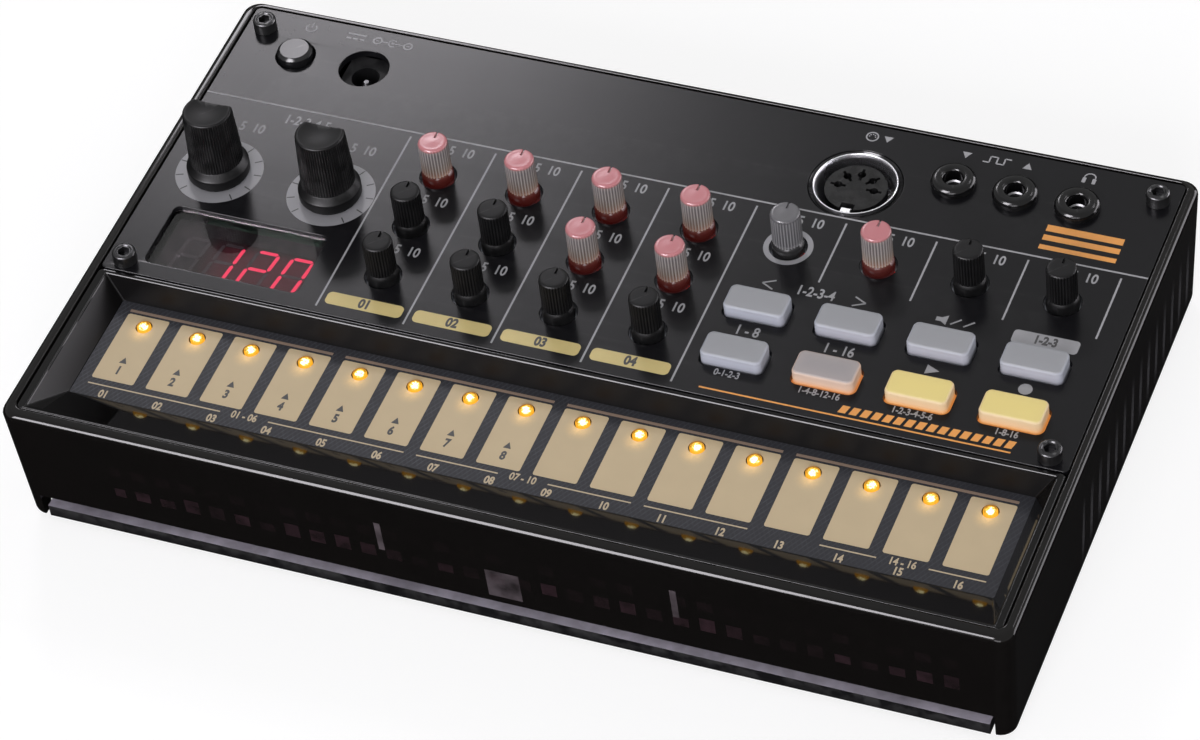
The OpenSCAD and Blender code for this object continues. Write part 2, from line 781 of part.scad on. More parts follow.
module board_screws() {
    color([0.6, 0.6, 0.62])
        at_board_posts() {
            translate([0, 0, board_top]) cylinder(r = board_head_r, h = board_head_h);
            translate([0, 0, board_z - 4]) cylinder(r = board_screw_r, h = 4 + board_t + eps);
        }
}

module potentiometers() {
    places = concat([for (c = SMALL_KNOBS) knob_at(c)], [big_at(-1), big_at(1)]);
    color([0.25, 0.27, 0.3])
        for (p = places)
            difference() {
                block([p[0] - pot_w / 2, p[1] - pot_w / 2], [p[0] + pot_w / 2, p[1] + pot_w / 2],
                      board_top, pot_top);
                translate([p[0], p[1], pot_top - bush_depth])
                    cylinder(r = shaft_r + run_gap, h = bush_depth + 1);
            }
}

module knob_lamps() {
    color([0.9, 0.2, 0.2])
        for (c = LIT_KNOBS) {
            p = knob_at(c);
            block([p[0] + shaft_r + 0.4, p[1] - 0.6], [p[0] + shaft_r + 1.6, p[1] + 0.6],
                  pot_top, pot_top + 0.4);
        }
}

module button_switches() {
    color([0.15, 0.15, 0.15])
        for (c = KEYS) {
            p = key_at(c);
            block([p[0] - switch_w / 2, p[1] - switch_w / 2], [p[0] + switch_w / 2, p[1] + switch_w / 2],
                  board_top, switch_top - 0.4);
            translate([p[0], p[1], board_top]) cylinder(r = 1.7, h = switch_top - board_top);
        }
}

module power_switch() {
    top = io_top + power_switch_h;
    half = power_switch_w / 2;
    color([0.15, 0.15, 0.15])
        difference() {
            block([POWER[0] - half, POWER[1] - half], [POWER[0] + half, POWER[1] + half], io_top, top);
            translate([POWER[0], POWER[1], top - half]) cylinder(r = shaft_r + bolt_gap, h = power_switch_h);
        }
}

module flex_cable() {
    color([0.75, 0.7, 0.6])
        rotate([90, 0, 90])
            linear_extrude(18, center = true)
                polygon([[touch_rear - 3, board_z], [touch_rear - 3, board_z - 0.3],
                         [board_front + 3, board_z - 0.3], [board_front + 3, board_z]]);
}

module speaker() {
    color([0.2, 0.2, 0.2])
        translate([speaker_x, speaker_y, base_z])
            rotate_extrude()
                polygon([[0, 0.8], [speaker_r - 2.5, 0.4], [speaker_r - 2.5, 0], [speaker_r, 0],
                         [speaker_r, 1], [speaker_r - 3, 3], [speaker_r / 2, 3.6],
                         [speaker_r / 2, speaker_h], [0, speaker_h]]);
}

// ---- Batteries ----

module at_cells() {
    for (i = [0 : cells_in_line - 1], s = [-1, 1])
        translate([(i - (cells_in_line - 1) / 2) * cell_pitch, bay_mid_y + s * (cell_r + fit), cell_z])
            rotate([0, s * 90, 0]) children();
}

module battery_cells() {
    nub = 1;
    color([0.75, 0.6, 0.3])
        at_cells() {
            translate([0, 0, -cell_len / 2]) cylinder(r = cell_r, h = cell_len - nub);
            translate([0, 0, cell_len / 2 - nub]) cylinder(r = 2.7, h = nub);
        }
}

module battery_contacts() {
    plate = 0.5;
    color([0.8, 0.8, 0.82])
        for (end = [-1, 1], s = [-1, 1])
            translate([end * bay_in_x, bay_mid_y + s * (cell_r + fit), cell_z]) rotate([0, -end * 90, 0]) {
                translate([-5, -5, 0]) cube([10, 10, plate]);
                cylinder(r1 = 4, r2 = 2.2, h = spring_len);
            }
}

// ---- Sockets ----

module dc_jack() {
    color([0.08, 0.08, 0.08])
        difference() {
            block([DC[0] - dc_body_w / 2, DC[1] - jack_body_d / 2],
                  [DC[0] + dc_body_w / 2, DC[1] + jack_body_d / 2], io_top, dc_face);
            translate([DC[0], DC[1], socket_z]) cylinder(r = dc_bore_r, h = case_h);
        }
}

module dc_pin() {
    color([0.85, 0.85, 0.85]) {
        translate([DC[0], DC[1], socket_z]) cylinder(r = dc_pin_r, h = dc_face - socket_z - 1.6);
        translate([DC[0], DC[1], dc_face - 1.6]) cylinder(r1 = dc_pin_r, r2 = dc_pin_r / 2, h = 0.6);
    }
}

module din_pins() {
    for (a = [0 : 45 : 180]) rotate([0, 0, a]) translate([din_pin_ring, 0, 0]) children();
}

module din_housing() {
    top = panel_z - din_sink;
    half = din_block_w / 2;
    color([0.07, 0.07, 0.07])
        translate([DIN[0], DIN[1], 0])
            difference() {
                union() {
                    block([-half, -din_block_front], [half, half], io_top, din_z);
                    translate([0, 0, din_z - eps]) cylinder(r = din_core_r, h = top - din_z + eps);
                }
                din_pins() {
                    translate([0, 0, din_z]) cylinder(r = din_pin_r, h = case_h);
                    block([-1.5, -0.28], [1.5, 0.28], top - 6, top + 1);
                }
                block([-1.3, -din_core_r - 1], [1.3, -din_core_r + 1.6], din_z + 1, top + 1);
            }
}

module din_shell() {
    shell_h = panel_z + 0.2 - din_z;
    color([0.85, 0.85, 0.87])
        translate([DIN[0], DIN[1], din_z]) {
            difference() {
                cylinder(r = din_r, h = shell_h);
                translate([0, 0, -1]) cylinder(r = din_r - din_shell_t, h = shell_h + 2);
            }
            // locating tongue at the front
            block([-0.9, -din_r + din_shell_t / 2], [0.9, -din_core_r - 0.2], 0, shell_h - 1.2);
        }
}

module din_contacts() {
    color([0.8, 0.7, 0.4])
        translate([DIN[0], DIN[1], din_z]) din_pins() cylinder(r = din_pin_r - 0.15, h = panel_z - din_z - 3);
}

// Rounded bush over the panel, neck through it, square body under it
module small_jack(i) {
    top = panel_z + jack_h;
    dome_r = 1.2;
    color([0.05, 0.05, 0.05])
        translate([jack_at(i)[0], jack_at(i)[1], 0])
            difference() {
                union() {
                    block([-jack_body_w / 2, -jack_body_d / 2], [jack_body_w / 2, jack_body_d / 2],
                          io_top, under_z);
                    translate([0, 0, under_z - eps]) cylinder(r = jack_neck_r, h = panel_t + 2 * eps);
                    rotate_extrude()
                        polygon(concat([[0, panel_z], [jack_r, panel_z]],
                            [for (a = [0 : 15 : 90])
                                [jack_r - dome_r + dome_r * cos(a), top - dome_r + dome_r * sin(a)]],
                            [[0, top]]));
                }
                translate([0, 0, socket_z]) cylinder(r = jack_bore_r, h = case_h);
                translate([0, 0, top - 0.5])
                    cylinder(r1 = jack_bore_r, r2 = jack_bore_r + 0.35, h = 0.5 + eps);
            }
}

module sync_in_jack() { small_jack(0); }
module sync_out_jack() { small_jack(1); }
module headphone_jack() { small_jack(2); }

// ---- What the fingers move ----

module power_button() {
    top = panel_z + power_h;
    color([0.2, 0.2, 0.21])
        translate([POWER[0], POWER[1], 0])
            rotate_extrude()
                polygon([[0, power_foot_z], [shaft_r, power_foot_z], [shaft_r, under_z - 1.3],
                         [power_r + 0.8, under_z - 1.3], [power_r + 0.8, under_z - fit],
                         [power_r, under_z - fit], [power_r, top - 0.9], [power_r - 0.15, top - 0.5],
                         [power_r - 0.5, top - 0.15], [power_r - 0.9, top], [0, top]]);
}

module small_knob(c, tone) {
    p = knob_at(c);
    grip_z = panel_z + collar_h;
    cap = 0.5;
    top = panel_z + knob_h;
    color(tone)
        translate([p[0], p[1], 0])
            difference() {
                union() {
                    translate([0, 0, pot_top - bush_depth + 0.2])
                        cylinder(r = shaft_r, h = collar_low - pot_top + bush_depth);
                    translate([0, 0, collar_low]) cylinder(r = collar_r, h = grip_z - collar_low);
                    translate([0, 0, grip_z - eps])
                        linear_extrude(top - cap - grip_z + eps) polygon(star(knob_r, flutes, flute_d));
                    translate([0, 0, top - cap - eps])
                        cylinder(r1 = knob_r - flute_d, r2 = knob_r - flute_d - cap, h = cap + eps);
                }
                // pointer notch at the rear of the top
                block([-0.22, 0.9], [0.22, knob_r + 1], top - 0.6, top + 1);
            }
}

module large_knob(side) {
    foot_z = panel_z + 0.4;
    grip_z = foot_z + skirt_h + 1.3;
    grip_h = panel_z + big_h - grip_z;
    color([0.06, 0.06, 0.06])
        translate([big_at(side)[0], big_at(side)[1], 0]) {
            translate([0, 0, pot_top - bush_depth + 0.2])
                cylinder(r = shaft_r, h = foot_z - pot_top + bush_depth);
            translate([0, 0, foot_z])
                rotate_extrude()
                    polygon([[0, 0], [skirt_r - 0.3, 0], [skirt_r, 0.3], [skirt_r, skirt_h - 0.4],
                             [skirt_r - 0.3, skirt_h], [grip_r, skirt_h + 1.3], [0, skirt_h + 1.3]]);
            difference() {
                translate([0, 0, grip_z - eps])
                    linear_extrude(grip_h + eps, scale = grip_top_r / grip_r)
                        polygon(star(grip_r, big_flutes, flute_d));
                // leaning flat face at the rear, which shows where the knob points
                translate([0, flat_y, panel_z + big_h])
                    rotate([flat_lean, 0, 0])
                        translate([-10, 0, -30]) cube([20, 20, 40]);
            }
        }
}

module time_knob() { large_knob(-1); }
module depth_knob() { large_knob(1); }

black_tone = [0.06, 0.06, 0.06];
clear_tone = [0.8, 0.6, 0.6, 0.6];

module kick_click_knob() { small_knob([0, 0], clear_tone); }
module kick_pitch_knob() { small_knob([0, 1], black_tone); }
module kick_decay_knob() { small_knob([0, 2], black_tone); }
module snare_snap_knob() { small_knob([1, 0], clear_tone); }
module snare_pitch_knob() { small_knob([1, 1], black_tone); }
module snare_decay_knob() { small_knob([1, 2], black_tone); }
module tom_high_knob() { small_knob([2, 0], clear_tone); }
module tom_low_knob() { small_knob([2, 1], clear_tone); }
module tom_decay_knob() { small_knob([2, 2], black_tone); }
module closed_hat_knob() { small_knob([3, 0], clear_tone); }
module open_hat_knob() { small_knob([3, 1], clear_tone); }
module hat_grain_knob() { small_knob([3, 2], black_tone); }
module speed_knob() { small_knob([4, 0], clear_tone); }
module tempo_knob() { small_knob([5, 0], clear_tone); }
module level_knob() { small_knob([6, 0], black_tone); }
module volume_knob() { small_knob([7, 0], black_tone); }

// One thin layer of a rubber key's outline
module key_layer(z, inset) {
    translate([0, 0, z])
        linear_extrude(eps)
            rounded([-key_w / 2 + inset, -key_d / 2 + inset], [key_w / 2 - inset, key_d / 2 - inset],
                    key_r - inset / 2, $fn = hull_fn);
}

module rubber_key(c, tone) {
    p = key_at(c);
    top = panel_z + key_h;
    color(tone) {
        translate([p[0], p[1], 0])
            hull() {
                key_layer(key_low + key_flange - eps, 0);
                key_layer(top - 0.9, 0);
                key_layer(top - 0.3, 0.25);
                key_layer(top - eps, 0.8);
            }
        key_outline(c, flange_grow, key_low, key_low + key_flange);
    }
}

grey_tone = [0.6, 0.61, 0.62];
lit_tone = [0.9, 0.82, 0.5];

module back_button() { rubber_key([4, 0], grey_tone); }
module forward_button() { rubber_key([5, 0], grey_tone); }
module mute_button() { rubber_key([6, 0], grey_tone); }
module function_button() { rubber_key([7, 0], grey_tone); }
module memory_button() { rubber_key([4, 1], grey_tone); }
module step_button() { rubber_key([5, 1], grey_tone); }
module play_button() { rubber_key([6, 1], lit_tone); }
module record_button() { rubber_key([7, 1], lit_tone); }

case_frame();
bottom_cover();
rubber_feet();
base_screws();
control_panel();
panel_screws();
screw_inserts();
key_bezel();
touch_plate();
key_leds();
touch_board();
display_window();
display_module();
main_board();
io_board();
dc_jack();
dc_pin();
din_housing();
din_shell();
din_contacts();
sync_in_jack();
sync_out_jack();
headphone_jack();
potentiometers();
knob_lamps();
button_switches();
power_switch();
battery_cells();
battery_contacts();
speaker();
flex_cable();
board_screws();
power_button();
battery_cover();
time_knob();
depth_knob();
kick_click_knob();
kick_pitch_knob();
kick_decay_knob();
snare_snap_knob();
snare_pitch_knob();
snare_decay_knob();
tom_high_knob();
tom_low_knob();
tom_decay_knob();
closed_hat_knob();
open_hat_knob();
hat_grain_knob();
speed_knob();
tempo_knob();
level_knob();
volume_knob();
back_button();
forward_button();
mute_button();
function_button();
memory_button();
step_button();
play_button();
record_button();
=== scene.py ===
"""Looks of a table-top drum machine: finishes, printed marks, moulded forms, studio and camera.

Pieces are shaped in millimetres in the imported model's own frame and turned to metres when they
are settled on their body. Sizes that the frame gives are read from it.
"""

import logging
import math
from collections.abc import Callable, Iterable, Sequence
from dataclasses import dataclass, field
from enum import Enum
from functools import cache

import bmesh
import bpy
from mathutils import Matrix, Vector


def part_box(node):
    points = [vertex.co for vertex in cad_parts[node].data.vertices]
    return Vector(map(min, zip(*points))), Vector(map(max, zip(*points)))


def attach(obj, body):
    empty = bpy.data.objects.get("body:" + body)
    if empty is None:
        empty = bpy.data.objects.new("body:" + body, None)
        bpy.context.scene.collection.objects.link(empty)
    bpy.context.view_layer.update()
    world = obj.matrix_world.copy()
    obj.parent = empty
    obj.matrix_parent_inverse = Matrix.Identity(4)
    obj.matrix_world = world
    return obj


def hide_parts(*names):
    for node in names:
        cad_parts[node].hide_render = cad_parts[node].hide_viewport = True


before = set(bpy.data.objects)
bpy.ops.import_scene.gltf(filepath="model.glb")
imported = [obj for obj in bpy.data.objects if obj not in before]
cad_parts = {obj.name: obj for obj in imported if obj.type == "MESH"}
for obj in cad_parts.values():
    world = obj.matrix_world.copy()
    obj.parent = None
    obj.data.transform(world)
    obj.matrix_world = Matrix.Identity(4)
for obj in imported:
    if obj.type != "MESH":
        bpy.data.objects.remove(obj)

MM = 0.001
LOG = logging.getLogger("drum_machine")
CASE = "case"
SHARP = 38.0
SINK = 0.01
WHITE = (1.0, 1.0, 1.0)

Point = tuple[float, float]
Place = tuple[float, float, float]
Outline = list[Point]
Ring = list[Place]
Colour = tuple[float, float, float]
Socket = bpy.types.NodeSocket
Sockets = dict[str, Socket]
Tree = bpy.types.NodeTree


# ---- Outlines and forms ----


def node_box(name: str) -> tuple[Vector, Vector]:
    """Gives a CAD node's lowest and highest corner in millimetres."""
    low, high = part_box(name)
    return low / MM, high / MM


def node_centre(name: str) -> Point:
    """Gives X and Y of a CAD node's middle in millimetres."""
    low, high = node_box(name)
    return (low.x + high.x) / 2, (low.y + high.y) / 2


def arc(centre: Point, radius: float, start: float, end: float, steps: int) -> Outline:
    """Gives points along an arc.

    Args:
        centre: Middle of the arc.
        radius: Its radius.
        start: Angle of the first point, in degrees.
        end: Angle of the last point, in degrees.
        steps: Number of stretches between the points.

    Returns:
        The points, both ends included.
    """
    points = []
    for i in range(steps + 1):
        angle = math.radians(start + (end - start) * i / steps)
        points.append((centre[0] + radius * math.cos(angle), centre[1] + radius * math.sin(angle)))
    return points


def circle(centre: Point, radius: float, count: int = 48) -> Outline:
    """Gives a closed circle of count points."""
    return arc(centre, radius, 0, 360, count)[:-1]


def rounded(low: Point, high: Point, radius: float, steps: int = 6) -> Outline:
    """Gives a rectangle with round corners.

    Args:
        low: Its lowest corner.
        high: Its highest corner.
        radius: Radius of the corners; 0 stacks the corner's points on one place.
        steps: Stretches along each corner.

    Returns:
        The closed outline, anticlockwise.
    """
    points: Outline = []
    corners = [(high[0] - radius, high[1] - radius, 0), (low[0] + radius, high[1] - radius, 90),
               (low[0] + radius, low[1] + radius, 180), (high[0] - radius, low[1] + radius, 270)]
    for x, y, start in corners:
        points += arc((x, y), radius, start, start + 90, steps)
    return points


def slab(centre: Point, width: float, depth: float, radius: float = 0.0, steps: int = 6) -> Outline:
    """Gives a rectangle with round corners about a centre."""
    x, y = centre
    return rounded((x - width / 2, y - depth / 2), (x + width / 2, y + depth / 2), radius, steps)


def bar(start: Point, end: Point, width: float) -> Outline:
    """Gives the outline of a straight stroke from start to end."""
    way = (Vector(end) - Vector(start)).normalized() * width / 2
    side = Vector((-way.y, way.x))
    corners = [Vector(start) + side, Vector(start) - side, Vector(end) - side, Vector(end) + side]
    return [(corner.x, corner.y) for corner in corners]


def bars(width: float, *strokes: tuple[float, float, float, float]) -> list[Outline]:
    """Gives straight strokes of one width, each from the X and Y of its start to those of its end."""
    return [bar(stroke[:2], stroke[2:], width) for stroke in strokes]


def bow(centre: Point, radius: float, width: float, start: float, end: float) -> Outline:
    """Gives the outline of a stroke along an arc."""
    half = width / 2
    return arc(centre, radius + half, start, end, 20) + arc(centre, radius - half, end, start, 20)


def level(outline: Outline, height: float) -> Ring:
    """Lifts an outline to a height."""
    return [(x, y, height) for x, y in outline]


class Form:
    """A mesh under construction, in millimetres."""

    def __init__(self) -> None:
        """Starts an empty mesh."""
        self.bm = bmesh.new()

    def loft(self, rings: Sequence[Ring], closed: bool = False) -> "Form":
        """Skins rings of equal length.

        Args:
            rings: The rings, in order.
            closed: Whether the last ring joins the first; otherwise both ends get a face.

        Returns:
            The form.
        """
        rows = [[self.bm.verts.new(point) for point in ring] for ring in rings]
        pairs = list(zip(rows, rows[1:]))
        if closed:
            pairs.append((rows[-1], rows[0]))
        else:
            self.bm.faces.new(list(reversed(rows[0])))
            self.bm.faces.new(rows[-1])
        for below, above in pairs:
            for i in range(len(below)):
                j = (i + 1) % len(below)
                self.bm.faces.new((below[i], below[j], above[j], above[i]))
        return self

    def lathe(self, profile: Sequence[Point], centre: Point = (0, 0), count: int = 64,
              closed: bool = False) -> "Form":
        """Turns a profile of radius and height about an upright axis, with count points round a ring."""
        return self.loft([level(circle(centre, max(r, 1e-4), count), z) for r, z in profile], closed)

    def box(self, low: Sequence[float], high: Sequence[float]) -> "Form":
        """Adds a box from its lowest to its highest corner."""
        outline = [(high[0], high[1]), (low[0], high[1]), (low[0], low[1]), (high[0], low[1])]
        return self.loft([level(outline, low[2]), level(outline, high[2])])

    def plate(self, outlines: Iterable[Outline], low: float, high: float, edge: float = 0.0) -> "Form":
        """Adds a flat plate with holes.

        Args:
            outlines: Closed outlines; one inside another is a hole.
            low: Height of its lower face.
            high: Height of its upper face.
            edge: Radius of the rounding along all its edges.

        Returns:
            The form.
        """
        curve = bpy.data.curves.new("plate", "CURVE")
        curve.dimensions = "2D"
        curve.fill_mode = "BOTH"
        curve.extrude = (high - low) / 2 - edge
        curve.bevel_depth = edge
        curve.bevel_resolution = 2
        curve.offset = -edge
        for outline in outlines:
            spline = curve.splines.new("POLY")
            spline.points.add(len(outline) - 1)
            for point, place in zip(spline.points, outline):
                point.co = (place[0], place[1], 0, 1)
            spline.use_cyclic_u = True
        return self._absorb(curve, Matrix.Translation((0, 0, (low + high) / 2)))

    def words(self, text: str, centre: Point, height: float, low: float, high: float,
              bold: float = 0.026) -> "Form":
        """Adds plain figures as thin raised print.

        Args:
            text: The figures.
            centre: Middle of the print.
            height: Height of a figure.
            low: Height of its lower face.
            high: Height of its upper face.
            bold: Extra stroke, as a share of the height.

        Returns:
            The form.
        """
        cap_share = 0.73
        narrow = 0.76
        curve = bpy.data.curves.new("words", "FONT")
        curve.body = text
        curve.align_x = "CENTER"
        curve.align_y = "CENTER"
        curve.size = height / cap_share
        curve.resolution_u = 4
        curve.offset = bold * height
        curve.extrude = (high - low) / 2
        place = Matrix.Translation((centre[0], centre[1], (low + high) / 2))
        return self._absorb(curve, place @ Matrix.Diagonal((narrow, 1, 1, 1)))

    def _absorb(self, curve: bpy.types.Curve, place: Matrix) -> "Form":
        """Turns a curve into mesh and adds it at a place."""
        mesh = baked(linked("carrier", curve))
        mesh.transform(place)
        self.bm.from_mesh(mesh)
        bpy.data.meshes.remove(mesh)
        return self

    def merge(self, distance: float = 1e-4) -> "Form":
        """Joins points that share a place and turns the faces outwards."""
        bmesh.ops.remove_doubles(self.bm, verts=self.bm.verts, dist=distance)
        bmesh.ops.dissolve_degenerate(self.bm, dist=distance / 10, edges=self.bm.edges)
        bmesh.ops.recalc_face_normals(self.bm, faces=self.bm.faces)
        return self

    def mesh(self) -> bpy.types.Mesh:
        """Gives the form as a mesh in millimetres."""
        self.merge()
        made = bpy.data.meshes.new("form")
        self.bm.to_mesh(made)
        return made

    def changed(self, kind: str, **settings: object) -> "Form":
        """Runs one modifier over the form.

        Args:
            kind: The modifier's type.
            **settings: Its settings.

        Returns:
            The form.
        """
        result = modified(self.mesh(), kind, **settings)
        self.bm.clear()
        self.bm.from_mesh(result)
        bpy.data.meshes.remove(result)
        return self

    def cut(self, tool: "Form") -> "Form":
        """Takes another form's space out of this one."""
        cutter = linked("cutter", tool.mesh())
        self.changed("BOOLEAN", operation="DIFFERENCE", solver="EXACT", object=cutter)
        bpy.data.objects.remove(cutter)
        return self

    def moved(self, x: float, y: float, z: float = 0.0) -> "Form":
        """Moves the whole form."""
        bmesh.ops.translate(self.bm, verts=self.bm.verts, vec=(x, y, z))
        return self

    def copy(self) -> "Form":
        """Gives a second form of the same shape."""
        twin = Form()
        twin.bm.free()
        twin.bm = self.bm.copy()
        return twin

    def shaded(self, name: str, sharp: float) -> bpy.types.Mesh:
        """Gives the form as a mesh in metres, smooth but for the edges that are sharper than an angle.

        Args:
            name: Name of the mesh.
            sharp: The angle, in degrees.

        Returns:
            The mesh.
        """
        self.merge()
        for face in self.bm.faces:
            face.smooth = True
        for edge in self.bm.edges:
            edge.smooth = edge.is_manifold and edge.calc_face_angle(0) < math.radians(sharp)
        bmesh.ops.scale(self.bm, verts=self.bm.verts, vec=(MM, MM, MM))
        made = bpy.data.meshes.new(name)
        self.bm.to_mesh(made)
        self.bm.free()
        return made

    def settle(self, name: str, finish: "Finish", body: str = CASE, replaced: Sequence[str] = (),
               sharp: float = SHARP) -> bpy.types.Object:
        """Turns the form into a finished piece, whose wide faces stay flat beside small round edges.

        Args:
            name: Name of the piece.
            finish: Its finish.
            body: The CAD body that carries it.
            replaced: CAD nodes that it stands for.
            sharp: Faces that meet at less than this angle are shaded as one, in degrees.

        Returns:
            The piece.
        """
        mesh = modified(self.shaded(name, sharp), "WEIGHTED_NORMAL", keep_sharp=True)
        return seat(name, mesh, finish, body, replaced)


def linked(name: str, data: bpy.types.ID) -> bpy.types.Object:
    """Makes an object of some data and puts it in the scene."""
    made = bpy.data.objects.new(name, data)
    bpy.context.scene.collection.objects.link(made)
    return made


def modified(mesh: bpy.types.Mesh, kind: str, **settings: object) -> bpy.types.Mesh:
    """Gives a mesh as one modifier leaves it."""
    carrier = linked("carrier", mesh)
    modifier = carrier.modifiers.new("step", kind)
    for key, value in settings.items():
        setattr(modifier, key, value)
    return baked(carrier)


def baked(carrier: bpy.types.Object) -> bpy.types.Mesh:
    """Gives an object's shape with its modifiers as a plain mesh, and removes the object."""
    depsgraph = bpy.context.evaluated_depsgraph_get()
    depsgraph.update()
    made = bpy.data.meshes.new_from_object(carrier.evaluated_get(depsgraph))
    bpy.data.objects.remove(carrier)
    return made


def seat(name: str, mesh: bpy.types.Mesh, finish: "Finish", body: str = CASE,
         replaced: Sequence[str] = ()) -> bpy.types.Object:
    """Makes a piece of a mesh in metres and puts it on its body.

    Args:
        name: Name of the piece.
        mesh: Its mesh, in place.
        finish: Its finish.
        body: The CAD body that carries it.
        replaced: CAD nodes that it stands for.

    Returns:
        The piece.
    """
    piece = linked(name, mesh)
    mesh.materials.clear()
    mesh.materials.append(finish.material())
    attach(piece, body)
    if replaced:
        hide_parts(*replaced)
    LOG.info("%s: %d faces on %s", name, len(mesh.polygons), body)
    return piece


# ---- Node trees ----


class Graph:
    """Adds and joins nodes in one tree."""

    def __init__(self, tree: Tree) -> None:
        """Takes the tree to work in."""
        self.tree = tree

    def feed(self, socket: Socket, value: object) -> None:
        """Links a socket to a socket, or sets its plain value; a colour gets full cover."""
        if isinstance(value, Socket):
            self.tree.links.new(value, socket)
        else:
            socket.default_value = (*value, 1.0) if socket.type == "RGBA" else value

    def node(self, kind: str, inputs: dict[str | int, object] | None = None,
             **settings: object) -> bpy.types.Node:
        """Adds a node.

        Args:
            kind: Its type.
            inputs: What goes into its sockets, by name or index.
            **settings: Its own properties.

        Returns:
            The node.
        """
        made = self.tree.nodes.new(kind)
        for key, value in settings.items():
            setattr(made, key, value)
        for key, value in (inputs or {}).items():
            self.feed(made.inputs[key], value)
        return made

    def within(self, value: object, limits: Point) -> Socket:
        """Gives 1 where a value in metres lies between two limits in millimetres."""
        return self.times(self.over(value, limits[0] * MM), self.under(value, limits[1] * MM))

    def math(self, operation: str, first: object, second: object = 0.0) -> Socket:
        """Gives the result of one sum."""
        return self.node("ShaderNodeMath", {0: first, 1: second}, operation=operation).outputs[0]

    def times(self, first: object, *others: object) -> Socket:
        """Gives the product of its parts."""
        for other in others:
            first = self.math("MULTIPLY", first, other)
        return first

    def over(self, value: object, limit: object) -> Socket:
        """Gives 1 where a value is greater than a limit and 0 elsewhere."""
        return self.math("GREATER_THAN", value, limit)

    def under(self, value: object, limit: object) -> Socket:
        """Gives 1 where a value is less than a limit and 0 elsewhere."""
        return self.math("LESS_THAN", value, limit)

    def span(self, value: object, low: object, high: object, to_low: float = 0.0,
             to_high: float = 1.0) -> Socket:
        """Maps a value from one span to another, held at both ends."""
        inputs = {"Value": value, "From Min": low, "From Max": high, "To Min": to_low, "To Max": to_high}
        return self.node("ShaderNodeMapRange", inputs).outputs[0]

    def noise(self, scale: object, detail: float = 2.0, distortion: float = 0.0) -> Socket:
        """Gives uneven patches over the piece."""
        inputs = {"Vector": self.place(), "Scale": scale, "Detail": detail, "Distortion": distortion}
        return self.node("ShaderNodeTexNoise", inputs).outputs[0]

    def mix(self, factor: object, first: object, second: object) -> Socket:
        """Mixes two colours."""
        return self.node("ShaderNodeMix", {0: factor, 6: first, 7: second}, data_type="RGBA").outputs[2]

    def ramp(self, value: object, stops: Sequence[tuple[float, Colour]]) -> Socket:
        """Gives a colour along a run of stops.

        Args:
            value: Where to read the run, from 0 to 1.
            stops: Place and colour of each stop.

        Returns:
            The colour.
        """
        made = self.node("ShaderNodeValToRGB", {0: value})
        elements = made.color_ramp.elements
        for element, (place, colour) in zip(elements, (stops[0], stops[-1])):
            element.position, element.color = place, (*colour, 1.0)
        for place, colour in stops[1:-1]:
            elements.new(place).color = (*colour, 1.0)
        return made.outputs[0]

    def group(self, tree: Tree, **values: float) -> bpy.types.Node:
        """Places a shared group with its own values."""
        return self.node("ShaderNodeGroup", values, node_tree=tree)

    def place(self) -> Socket:
        """Gives the place on the piece, in metres."""
        return self.node("ShaderNodeTexCoord").outputs["Object"]

    def axes(self) -> tuple[Socket, Socket, Socket]:
        """Gives X, Y and Z of the place on the piece, in metres."""
        return tuple(self.node("ShaderNodeSeparateXYZ", {0: self.place()}).outputs)

    def away(self, pitch: float, spot: Point) -> Socket:
        """Gives the distance from a spot that repeats along X, in metres.

        Args:
            pitch: Step of the repeat, in millimetres, with a step's middle on each spot's own middle.
            spot: Place of the spot in its step, in millimetres.

        Returns:
            The distance in plan.
        """
        x, y, _ = self.axes()
        turns = self.math("ADD", self.math("DIVIDE", x, pitch * MM), 100.0)
        across = self.times(self.math("SUBTRACT", self.math("FRACT", turns), 0.5), pitch * MM)
        sides = {0: self.math("SUBTRACT", across, spot[0] * MM), 1: self.math("SUBTRACT", y, spot[1] * MM)}
        both = self.node("ShaderNodeCombineXYZ", sides)
        return self.node("ShaderNodeVectorMath", {0: both.outputs[0]}, operation="LENGTH").outputs["Value"]


Drawing = Callable[[Graph, Sockets], Sockets]


def emptied(owner: bpy.types.Material | bpy.types.World) -> Graph:
    """Turns on a material's or a world's nodes and clears them."""
    owner.use_nodes = True
    owner.node_tree.nodes.clear()
    return Graph(owner.node_tree)


def shared(name: str, outputs: Sequence[str], **inputs: float) -> Callable[[Drawing], Callable[[], Tree]]:
    """Makes a shader group of a function that draws its nodes; it is built once, for every finish.

    Args:
        name: Name of the group.
        outputs: Names of the masks or values that it puts out.
        **inputs: Its inputs and their usual values.

    Returns:
        What turns the drawing function into one that gives the group.
    """
    def wrap(draw: Drawing) -> Callable[[], Tree]:
        """Keeps the drawing until its first use."""
        @cache
        def build() -> Tree:
            """Gives the group."""
            tree = bpy.data.node_groups.new(name, "ShaderNodeTree")
            for key, value in inputs.items():
                socket = tree.interface.new_socket(key, in_out="INPUT", socket_type="NodeSocketFloat")
                socket.default_value = value
            for key in outputs:
                tree.interface.new_socket(key, in_out="OUTPUT", socket_type="NodeSocketFloat")
            graph = Graph(tree)
            start = graph.node("NodeGroupInput")
            graph.node("NodeGroupOutput", draw(graph, {key: start.outputs[key] for key in inputs}))
            return tree
        return build
    return wrap


@shared("moulded_grain", ["Height", "Tone"], Scale=2500.0)
def grain_group(graph: Graph, given: Sockets) -> Sockets:
    """Fine moulded grain, as a height and a mottled tone."""
    scale = given["Scale"]
    return {"Height": graph.noise(scale, 3.0), "Tone": graph.noise(graph.times(scale, 0.08))}


